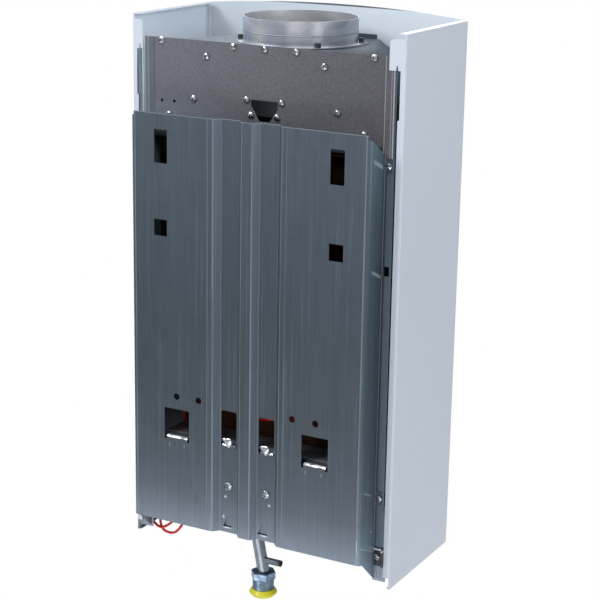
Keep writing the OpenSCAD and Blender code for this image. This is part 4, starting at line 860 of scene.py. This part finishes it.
def clip_finish():
    """A dark oiled spring clip with a bright line near its upper edge."""
    f = Finish("clip_steel", Metallic=0.7)
    cloud = f.noise(0.006, detail=3)
    tone = f.mix(cloud.between(0.35, 0.65), shade(44, 44, 47), shade(84, 84, 88))
    tone = f.mix(f.axis("Z").within(*CLIP_BRIGHT_LINE) * 0.9, tone, shade(220, 226, 232))
    return f.feed(Base_Color=tone, Roughness=cloud * 0.2 + 0.25, Normal=f.relief(cloud, 0.0002))


dress("screw", screw_finish(), "plate_screws", "hood_screws", "clip_screws", "valve_screws")
dress("clip", clip_finish(), "casing_clips")

# %% [markdown]
# ## The gas connection
# Under the plate hang a zinc-plated tube and the threaded connection. A thread could be modelled as
# a helix, but it is hidden in its nut in use and only a few pixels high here, so a sine of the
# height bumps rings into the cylinder at the thread's own pitch.

# %% Gas tube and thread
SPIGOT_END = (-0.0185, -0.0145)
THREAD_PITCH = 0.00181
THREAD_TOP = -0.5335
THREAD_FADE = 0.0006


def gas_tube_finish():
    """Zinc-plated tube, darkened at the open end of its side spigot."""
    f = Finish("gas_tube_zinc", Metallic=0.8)
    lines = f.noise(0.0016, (1, 1, 0.1), 3)
    cloud = f.noise(0.03, detail=3)
    tone = f.mix(cloud.between(0.35, 0.65), shade(140, 148, 156), shade(120, 128, 138))
    tone = f.mix(lines.between(0.4, 0.65) * 0.25, tone, shade(172, 180, 188))
    tone = f.mix((1 - f.axis("X").between(*SPIGOT_END)) * 0.9, tone, shade(26, 28, 32))
    return f.feed(Base_Color=tone, Roughness=cloud * 0.12 + 0.24, Normal=f.relief(lines, 0.00002))


def threaded_steel():
    """The gas connection: plated steel, with the thread as rings below the hexagon."""
    f = Finish("thread_steel", Metallic=0.9)
    height = f.axis("Z")
    turns = (height * (2 * math.pi / THREAD_PITCH)).sine()
    ring = (turns * 0.5 + 0.5) * (1 - height.between(THREAD_TOP, THREAD_TOP + THREAD_FADE))
    cloud = f.noise(0.008, detail=3)
    tone = f.mix(cloud.between(0.35, 0.65), shade(158, 178, 204), shade(118, 138, 164))
    tone = f.mix(ring * 0.45, tone, shade(58, 70, 90))
    return f.feed(Base_Color=tone, Roughness=cloud * 0.14 + 0.24, Normal=f.relief(ring, 0.0005))


dress("tube", gas_tube_finish(), "gas_pipe")
dress("thread", threaded_steel(), "gas_connection_nut")

# %% [markdown]
# ## Copper
# The exchanger and its pipes are copper. Copper that runs hot turns from rosy to brown in clouds,
# and the chamber over the flames is nearly black. Three pairs of colours in one recipe cover the
# pipes, the chamber and the fins.

# %% Copper
def copper_finish(name, low, high, rough):
    """Copper that ran hot: rosy where it stayed cool, browner and duller in clouds."""
    f = Finish(name, Metallic=1.0)
    cloud = f.noise(0.045, detail=5, warp=0.6)
    fine = f.noise(0.006, detail=3)
    tone = f.mix(cloud.between(0.35, 0.68), low, high)
    tone = f.mix(fine.between(0.55, 0.75) * 0.35, tone, tuple(c * 0.5 for c in low))
    return f.feed(Base_Color=tone, Roughness=cloud * 0.25 + (rough - 0.1),
                  Normal=f.relief(fine, 0.00003))


dress("copper", copper_finish("pipe_copper", (0.62, 0.26, 0.13), (0.40, 0.16, 0.09), 0.32),
      "exchanger_tubes", "chamber_coil", "hot_water_pipe", "pilot_tube", "thermocouple")
dress("chamber", copper_finish("chamber_copper", (0.10, 0.04, 0.025), (0.045, 0.022, 0.018), 0.5),
      "combustion_chamber", "exchanger_shell")
dress("fins", copper_finish("fin_copper", (0.48, 0.22, 0.13), (0.28, 0.14, 0.09), 0.38),
      "exchanger_fins")

# %% [markdown]
# ## Turned and brushed metal
# Brass fittings, plated steel rods and the burner's pressed steel are bare metal with fine tool
# marks. Stretched noise gives the marks: `stretch` says along which axis they run, and `size` how
# far they lie apart.

# %% Brass and steel
ALIKE = (1, 1, 1)


def brushed(name, colour, rough, metal, stretch, size):
    """Metal with fine tool or brush marks."""
    f = Finish(name, Metallic=metal)
    lines = f.noise(size, stretch, 3, 0.6)
    cloud = f.noise(0.05, detail=3)
    tone = f.mix(lines.between(0.3, 0.7) * 0.5, colour, tuple(c * 0.72 for c in colour))
    return f.feed(Base_Color=tone, Roughness=lines * 0.10 + cloud * 0.08 + (rough - 0.09),
                  Normal=f.relief(lines, 0.00002))


dress("brass", brushed("valve_brass", (0.62, 0.46, 0.20), 0.34, 1.0, ALIKE, 0.003),
      "hot_nipple", "cold_nipple", "injectors", "pilot_burner",
      "water_valve_body", "water_valve_cover")
dress("steel", brushed("pipe_steel", shade(150, 158, 165), 0.34, 0.85, ALIKE, 0.002),
      "gas_union_nut", "gas_manifold", "power_spindle", "flow_spindle", "lift_pin",
      "diaphragm_plate")
dress("burner", brushed("burner_steel", (0.35, 0.35, 0.37), 0.42, 1.0, (1, 10, 1), 0.002),
      "burner_bars")
dress("polished", brushed("polished_zinc", (0.55, 0.58, 0.62), 0.20, 0.9, ALIKE, 0.0008))
dress("trim", brushed("trim_steel", (0.62, 0.63, 0.65), 0.28, 1.0, ALIKE, 0.001))

# %% [markdown]
# ## The gas valve's casting
# The gas valve is die-cast. Its skin is a fine pebble rather than lines, so the bump comes from
# plain noise, and a slow cloud makes the colour uneven.

# %% Casting
def cast(name, colour):
    """A sand or die casting with a fine pebbled skin."""
    f = Finish(name, Metallic=0.9)
    pebble = f.noise(0.0016, detail=3)
    cloud = f.noise(0.03, detail=3)
    tone = f.mix(cloud.between(0.3, 0.7), colour, tuple(c * 0.78 for c in colour))
    return f.feed(Base_Color=tone, Roughness=cloud * 0.12 + 0.44, Normal=f.relief(pebble, 0.00012))


dress("casting", cast("valve_casting", (0.58, 0.59, 0.61)), "gas_valve_body", "gas_valve_cover")

# %% [markdown]
# ## Plastic, rubber and glazed clay
# These have no metal in them and differ by gloss and by the size of their grain. One function with
# three numbers makes them all, from the dull rubber of the diaphragm to the insulators' glaze.

# %% Moulded parts
def moulded(name, colour, rough=0.45, grain=0.0006, depth=0.00003):
    """Moulded plastic, rubber or glazed clay, with a skin of the given grain."""
    f = Finish(name)
    skin = f.noise(grain, detail=2)
    cloud = f.noise(0.03, detail=2)
    tone = f.mix(cloud, colour, tuple(c * 0.88 for c in colour))
    return f.feed(Base_Color=tone, Roughness=cloud * 0.08 + (rough - 0.04),
                  Normal=f.relief(skin, depth))


dress("dark", moulded("dark_coat_and_painted_shadow", shade(38, 40, 44), 0.5), "collar_screws")
dress("rubber", moulded("diaphragm_rubber", (0.02, 0.02, 0.02), 0.7), "diaphragm")
dress("knob", moulded("knob_plastic", shade(40, 41, 44), 0.4),
      "power_knob", "temperature_knob", "igniter_button")
dress("black", moulded("sensor_black", shade(24, 24, 26)), "spill_sensor", "overheat_sensor")
dress("clay", moulded("glazed_clay", shade(232, 226, 212), 0.2, 0.004, 0.00002),
      "spark_electrode", "igniter_body", "lead_block")
dress("yellow", moulded("cap_plastic", shade(214, 208, 40), 0.38, 0.001), "gas_cap")
dress("red", moulded("lead_red", shade(228, 26, 20), 0.34, 0.002, 0.00002),
      "sensor_lead", "limiter_lead", "spark_lead")
dress("mark", moulded("mark_paint", shade(232, 234, 236), 0.5))

# %% [markdown]
# ## The sight glass
# A round glass in the casing lets the pilot flame be seen. It passes light with a real glass's
# index of refraction, and faint smears in its roughness keep it from looking like a hole.

# %% Sight glass
def clear_glass(name):
    """Clear glass with a few smears."""
    f = Finish(name, Transmission_Weight=1.0, IOR=1.5)
    smear = f.noise(0.012, detail=3)
    return f.feed(Roughness=smear.between(0.5, 0.8) * 0.08 + 0.02)


dress("glass", clear_glass("sight_glass"), "sight_glass")

# %% [markdown]
# ## The control fascia
# The front is out of the photograph's view, so its fascia is plain: satin plastic with a ring of
# ticks round each knob and no words. The ticks could be thin solids, but real ones are printed. A
# cosine of the angle makes them, cut to a ring, and left out where the knob can't point.

# %% Fascia
# Centres of the two dials along x, and their height
DIALS = (0.0, 0.068)
DIAL_HEIGHT = -0.432
TICKS_IN_A_TURN = 24
TICK_RING = (0.0236, 0.0266, 0.0003)
OPEN_ARC = (2.38, 2.40)


def fascia_finish():
    """Satin plastic with a ring of plain tick marks printed round each knob."""
    f = Finish("fascia_plastic")
    skin = f.noise(0.0008, detail=2)
    cloud = f.noise(0.03, detail=2)
    brush = f.noise(0.0012, (0.05, 1, 1), 3)
    tone = f.mix(cloud, shade(166, 170, 177), shade(156, 160, 167))
    tone = f.mix(brush.between(0.35, 0.65) * 0.18, tone, shade(196, 200, 206))
    up = f.axis("Z") - DIAL_HEIGHT
    front = (0 - f.facing("Y")).between(0.5, 0.8)
    for middle in DIALS:
        along = f.axis("X") - middle
        turn = along.angle(up)
        tick = (turn * TICKS_IN_A_TURN).cosine().between(0.90, 0.96)
        tick = tick * along.reach(up).within(*TICK_RING) * (1 - abs(turn).between(*OPEN_ARC))
        tone = f.mix(tick * front * 0.9, tone, shade(52, 55, 60))
    return f.feed(Base_Color=tone, Roughness=cloud * 0.08 + 0.36, Normal=f.relief(skin, 0.00005))


dress("fascia", fascia_finish(), "control_fascia")
print("nodes without a finish:", sorted(bare))

# %% [markdown]
# ## Red leads
# Two silicone leads run from the overheat switch to the block at the foot, and a third one joins
# the igniter to its electrode. A lead is one thickness all along and bends smoothly. Extruded tubes
# would kink between their sections, so each lead is a curve: a few stations where it is held, and
# a spline that passes through all of them.

# %% A smooth line through stations
STEPS = 6


def smooth_line(stations):
    """Points of a Catmull-Rom spline through the stations."""
    ends = [2 * stations[0] - stations[1], *stations, 2 * stations[-1] - stations[-2]]
    line = []
    for a, b, c, d in zip(ends, ends[1:], ends[2:], ends[3:]):
        for step in range(STEPS):
            t = step / STEPS
            line.append(0.5 * (2 * b + (c - a) * t + (2 * a - 5 * b + 4 * c - d) * t ** 2
                               + (3 * b - a - 3 * c + d) * t ** 3))
    return line + [stations[-1]]


def run_length(line):
    return sum((b - a).length for a, b in zip(line, line[1:]))


print("points between two stations:", STEPS)

# %% [markdown]
# ## Where the leads run
# The stations are the same as in the model's source, so a lead lies where its solid does. They are
# in millimetres above the casing's lower edge, with each lead's thickness before them.

# %% Stations of the leads
# The casing's lower edge lies this far below the frame's origin, in millimetres
CASING_FOOT = 498
LEADS = {
    "sensor_lead": (3.2, [
        (-140.8, -55.9, 225), (-140.8, -48, 225), (-122, -34, 214), (-90, -28, 200),
        (-47, -28, 189), (-3, -28, 182), (20, -28, 191), (46, -28, 202), (74, -28, 201),
        (92, -32, 190), (108, -46, 176), (118.5, -58, 155), (120, -60, 125), (129, -54, 92),
        (143, -46, 60), (156, -44, 32), (157, -42, 17), (148, -41, 9), (139, -41, 9),
        (127, -43, 18), (121, -50, 30), (121, -50, 39.9)]),
    "limiter_lead": (3.2, [
        (-136.8, -55.9, 225), (-136.8, -48, 225), (-116, -33, 221), (-88, -32, 206),
        (-46, -32, 196), (-2, -32, 189), (22, -32, 198), (50, -32, 209), (80, -33, 206),
        (97, -38, 196), (110, -44, 187), (118.5, -54, 171), (120, -66, 145), (121, -68, 122),
        (129, -61, 95), (138, -52, 60), (147, -47, 26), (143, -44, 6), (129, -44, 2),
        (118, -45, 10), (112, -54, 28), (112, -56, 39.9)]),
    "spark_lead": (3.6, [
        (-26, -194, 121.9), (-26, -194, 110), (-38, -176, 92), (-56, -142, 88),
        (-66, -124, 78), (-68, -124, 69), (-68, -131, 66), (-68, -134.9, 66)]),
}
print("leads", len(LEADS))

# %% [markdown]
# ## Drawing the leads
# A curve with a round bevel is a tube of one thickness. It takes the place of the plain solid that
# stands for the lead in the frame, and rides on the heater's body.

# %% The leads
BEVEL_STEPS = 4

for name, (thickness, stations) in LEADS.items():
    line = smooth_line([Vector((x, y, z - CASING_FOOT)) / 1000 for x, y, z in stations])
    path = bpy.data.curves.new(name + "_run", "CURVE")
    path.dimensions = "3D"
    # Half the thickness, in metres
    path.bevel_depth = thickness / 2000
    path.bevel_resolution = BEVEL_STEPS
    path.use_fill_caps = True
    spline = path.splines.new("POLY")
    spline.points.add(len(line) - 1)
    for point, place in zip(spline.points, line):
        point.co = (*place, 1)
    lead = new_object(name + "_run", path)
    path.materials.append(finishes["red"])
    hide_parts(name)
    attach(lead, "heater")
    run_length(line)
    print(name, "runs", round(run_length(line) * 1000), "mm")

# %% [markdown]
# ## Small pieces that only the eye needs
# A pressed plate has burrs and lips where tools went through it, too small to matter to the fit.
# Each is built as a bmesh, a mesh that code can edit, and then handed to one helper, which gives
# it a finish and ties it to the body that it moves with.

# %% A helper for added pieces
def add_piece(name, shape, finish, body="heater"):
    """Turns a bmesh into an object with a finish, and ties it to the body it belongs to."""
    for face in shape.faces:
        face.smooth = True
    mesh = bpy.data.meshes.new(name)
    shape.to_mesh(mesh)
    shape.free()
    mesh.materials.append(finishes[finish])
    piece = new_object(name, mesh)
    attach(piece, body)
    return piece


print("pieces take their finish from", len(finishes), "that are ready")

# %% [markdown]
# ## Tongues in the channel windows
# The two channel windows end in bright torn tongues. They are drawn as outlines in the plate's own
# x and z, filled as a fan whose middle is lifted, then thickened and rounded by modifiers. A
# modifier keeps the drawn outline small and easy to change.

# %% Outlines of the tongues
# In millimetres: x, and the height above the casing's lower edge
TONGUES = {
    "left": [(36.0, 156.6), (33.0, 157.4), (29.4, 157.2), (28.6, 158.0), (22.4, 158.2),
             (21.2, 156.4), (20.9, 151.4), (22.8, 147.5), (25.1, 144.1), (27.4, 147.8),
             (30.2, 151.2), (33.4, 154.4)],
    "right": [(-15.2, 155.8), (-18.9, 152.8), (-21.6, 149.0), (-23.2, 146.4), (-25.0, 144.3),
              (-27.4, 147.4), (-28.9, 150.4), (-29.9, 154.0), (-29.5, 157.4), (-26.0, 158.2),
              (-21.0, 157.6), (-17.6, 157.2)],
}
print("tongues", len(TONGUES))

# %% [markdown]
# ## Filling the tongues
# Each outline gets a second ring inside it and a crown in its middle. Every other point of the
# inner ring is lifted further, which gives the torn metal its ripples once it is rounded.

# %% The tongues
# Depth of the channel's floor, and how far the tongue's edge, ripples and middle stand off
CHANNEL_FLOOR = -0.0078
EDGE_LIFT = 0.0007
RIPPLE = (0.0006, 0.0016)
CROWN_LIFT = 0.0012
INNER_RING = 0.55
TONGUE_SHEET = 0.0006

for side_name, outline in TONGUES.items():
    shape = bmesh.new()
    ring = [shape.verts.new((x / 1000, CHANNEL_FLOOR + EDGE_LIFT, (z - CASING_FOOT) / 1000))
            for x, z in outline]
    middle = sum((v.co for v in ring), Vector()) / len(ring)
    inner = [shape.verts.new(middle.lerp(v.co, INNER_RING) + Vector((0, RIPPLE[k % 2], 0)))
             for k, v in enumerate(ring)]
    crown = shape.verts.new(middle + Vector((0, CROWN_LIFT, 0)))
    for k in range(len(ring)):
        n = (k + 1) % len(ring)
        shape.faces.new((ring[k], ring[n], inner[n], inner[k]))
        shape.faces.new((inner[k], inner[n], crown))
    tongue = add_piece("channel_tongue_" + side_name, shape, "polished")
    sheet = tongue.modifiers.new("thickness", "SOLIDIFY")
    sheet.thickness = TONGUE_SHEET
    sheet.offset = 0
    rounding = tongue.modifiers.new("rounding", "SUBSURF")
    rounding.levels = 1
    rounding.render_levels = 1
    print(tongue.name, "has", len(outline), "corners")

# %% [markdown]
# ## A painted shadow beside the flue collar
# A thin dark line on the hood, on one side of the collar only, stands for the shadow at the edge of
# the collar's flange. A torus would go all the way round, so a small round section is swept along
# part of a circle instead, and closed at both ends. The same sweep makes the bezel of the sight
# glass later.

# %% Sweeping round an axis
FULL_TURN = 2 * math.pi


def swept_ring(profile, centre, steps, first=0.0, last=FULL_TURN):
    """Sweeps a closed (radius, height) outline round a vertical axis, all the way or in part."""
    shape = bmesh.new()
    whole = math.isclose(last - first, FULL_TURN)
    rows = []
    for step in range(steps if whole else steps + 1):
        turn = first + (last - first) * step / steps
        rows.append([shape.verts.new((centre[0] + r * math.cos(turn),
                                      centre[1] + r * math.sin(turn), z)) for r, z in profile])
    for a, b in zip(rows, rows[1:] + (rows[:1] if whole else [])):
        for k in range(len(profile)):
            n = (k + 1) % len(profile)
            shape.faces.new((a[k], b[k], b[n], a[n]))
    if not whole:
        shape.faces.new(rows[0])
        shape.faces.new(rows[-1][::-1])
    bmesh.ops.recalc_face_normals(shape, faces=shape.faces)
    return shape


print("a full turn is", round(FULL_TURN, 4), "radians")

# %% [markdown]
# ## Laying the shadow line
# The line's round section is flattened, and it stands on the deck with its whole height.

# %% Line of painted shadow
COLLAR_CENTRE = (0, -0.1218)
DECK = 0.1160
SHADOW_RING_RADIUS = 0.0798
SHADOW_FROM, SHADOW_TO = math.radians(118), math.radians(212)
SHADOW_STEPS = 48
SHADOW_SECTION = 0.00055
SHADOW_SECTION_SIDES = 8
SHADOW_SECTION_FLAT = 0.8

section = []
for k in range(SHADOW_SECTION_SIDES):
    turn = FULL_TURN * k / SHADOW_SECTION_SIDES
    section.append((SHADOW_RING_RADIUS + SHADOW_SECTION * math.cos(turn),
                    DECK + SHADOW_SECTION * SHADOW_SECTION_FLAT * (1 + math.sin(turn))))
add_piece("collar_flange_shadow", swept_ring(section, COLLAR_CENTRE, SHADOW_STEPS, SHADOW_FROM, SHADOW_TO),
          "dark")
print("sealant laid, radius", SHADOW_RING_RADIUS)

# %% [markdown]
# ## The bezel of the sight glass
# A thin steel ring holds the glass in the casing. Its section is an outline of six corners, in
# distances from the glass's edge, swept all the way round and then laid flat on the front.

# %% Bezel
# Corners of the section: distance outwards from the glass's edge, and height
BEZEL = [(-0.0012, 0.0), (0.0026, 0.0), (0.0024, 0.0009), (0.0012, 0.0016), (-0.0002, 0.0016),
         (-0.0012, 0.0008)]
BEZEL_STEPS = 96
BEZEL_SINKS = 0.0004

glass_low, glass_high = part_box("sight_glass")
glass_radius = (glass_high[0] - glass_low[0]) / 2
glass_height = (glass_low[2] + glass_high[2]) / 2
front_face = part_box("casing")[0][1]
bezel = swept_ring([(glass_radius + out, z) for out, z in BEZEL], (0, 0), BEZEL_STEPS)
lay_flat = Matrix.Rotation(math.pi / 2, 4, "X")
bezel.transform(Matrix.Translation((0, front_face + BEZEL_SINKS, glass_height)) @ lay_flat)
bmesh.ops.recalc_face_normals(bezel, faces=bezel.faces)
add_piece("sight_bezel", bezel, "trim")
print("bezel radius", round(glass_radius * 1000, 1), "mm")

# %% [markdown]
# ## Pointers on the knobs
# A white line on each knob shows where it stands. Paint in the knob's material would need a mask
# that turns with it, so each line is a thin inlaid piece that rides on the knob's own body.

# %% Pointers
# Above the knob's axis: the two ends of the line, then its half width, depth and how far it
# stands out
POINTER_FROM, POINTER_TO = 0.0075, 0.0155
POINTER_HALF = 0.0009
POINTER_DEPTH = 0.0006
POINTER_PROUD = 0.00004
ROUND_STEPS = 6


def inlay(name, x, y, low, high, body):
    """A thin rounded bar let into a knob's grip, its outer face at y."""
    shape = bmesh.new()
    outline = []
    for end, sign in ((high, 1), (low, -1)):
        for k in range(ROUND_STEPS + 1):
            angle = math.pi * k / ROUND_STEPS
            outline.append((x + POINTER_HALF * math.cos(angle) * sign,
                            end + POINTER_HALF * math.sin(angle) * sign))
    outer = [shape.verts.new((a, y, b)) for a, b in outline]
    inner = [shape.verts.new((a, y + POINTER_DEPTH, b)) for a, b in outline]
    shape.faces.new(outer[::-1])
    shape.faces.new(inner)
    for k in range(len(outer)):
        n = (k + 1) % len(outer)
        shape.faces.new((outer[k], outer[n], inner[n], inner[k]))
    bmesh.ops.recalc_face_normals(shape, faces=shape.faces)
    add_piece(name, shape, "mark", body)


for knob, body in (("power_knob", "power_control"), ("temperature_knob", "temperature_control")):
    low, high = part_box(knob)
    inlay(knob + "_pointer", (low[0] + high[0]) / 2, low[1] - POINTER_PROUD,
          DIAL_HEIGHT + POINTER_FROM, DIAL_HEIGHT + POINTER_TO, body)
    print(knob, "points on", body)

# %% [markdown]
# ## The end
# The last cell prints that the scene is built.

# %% The end
print("scene built")
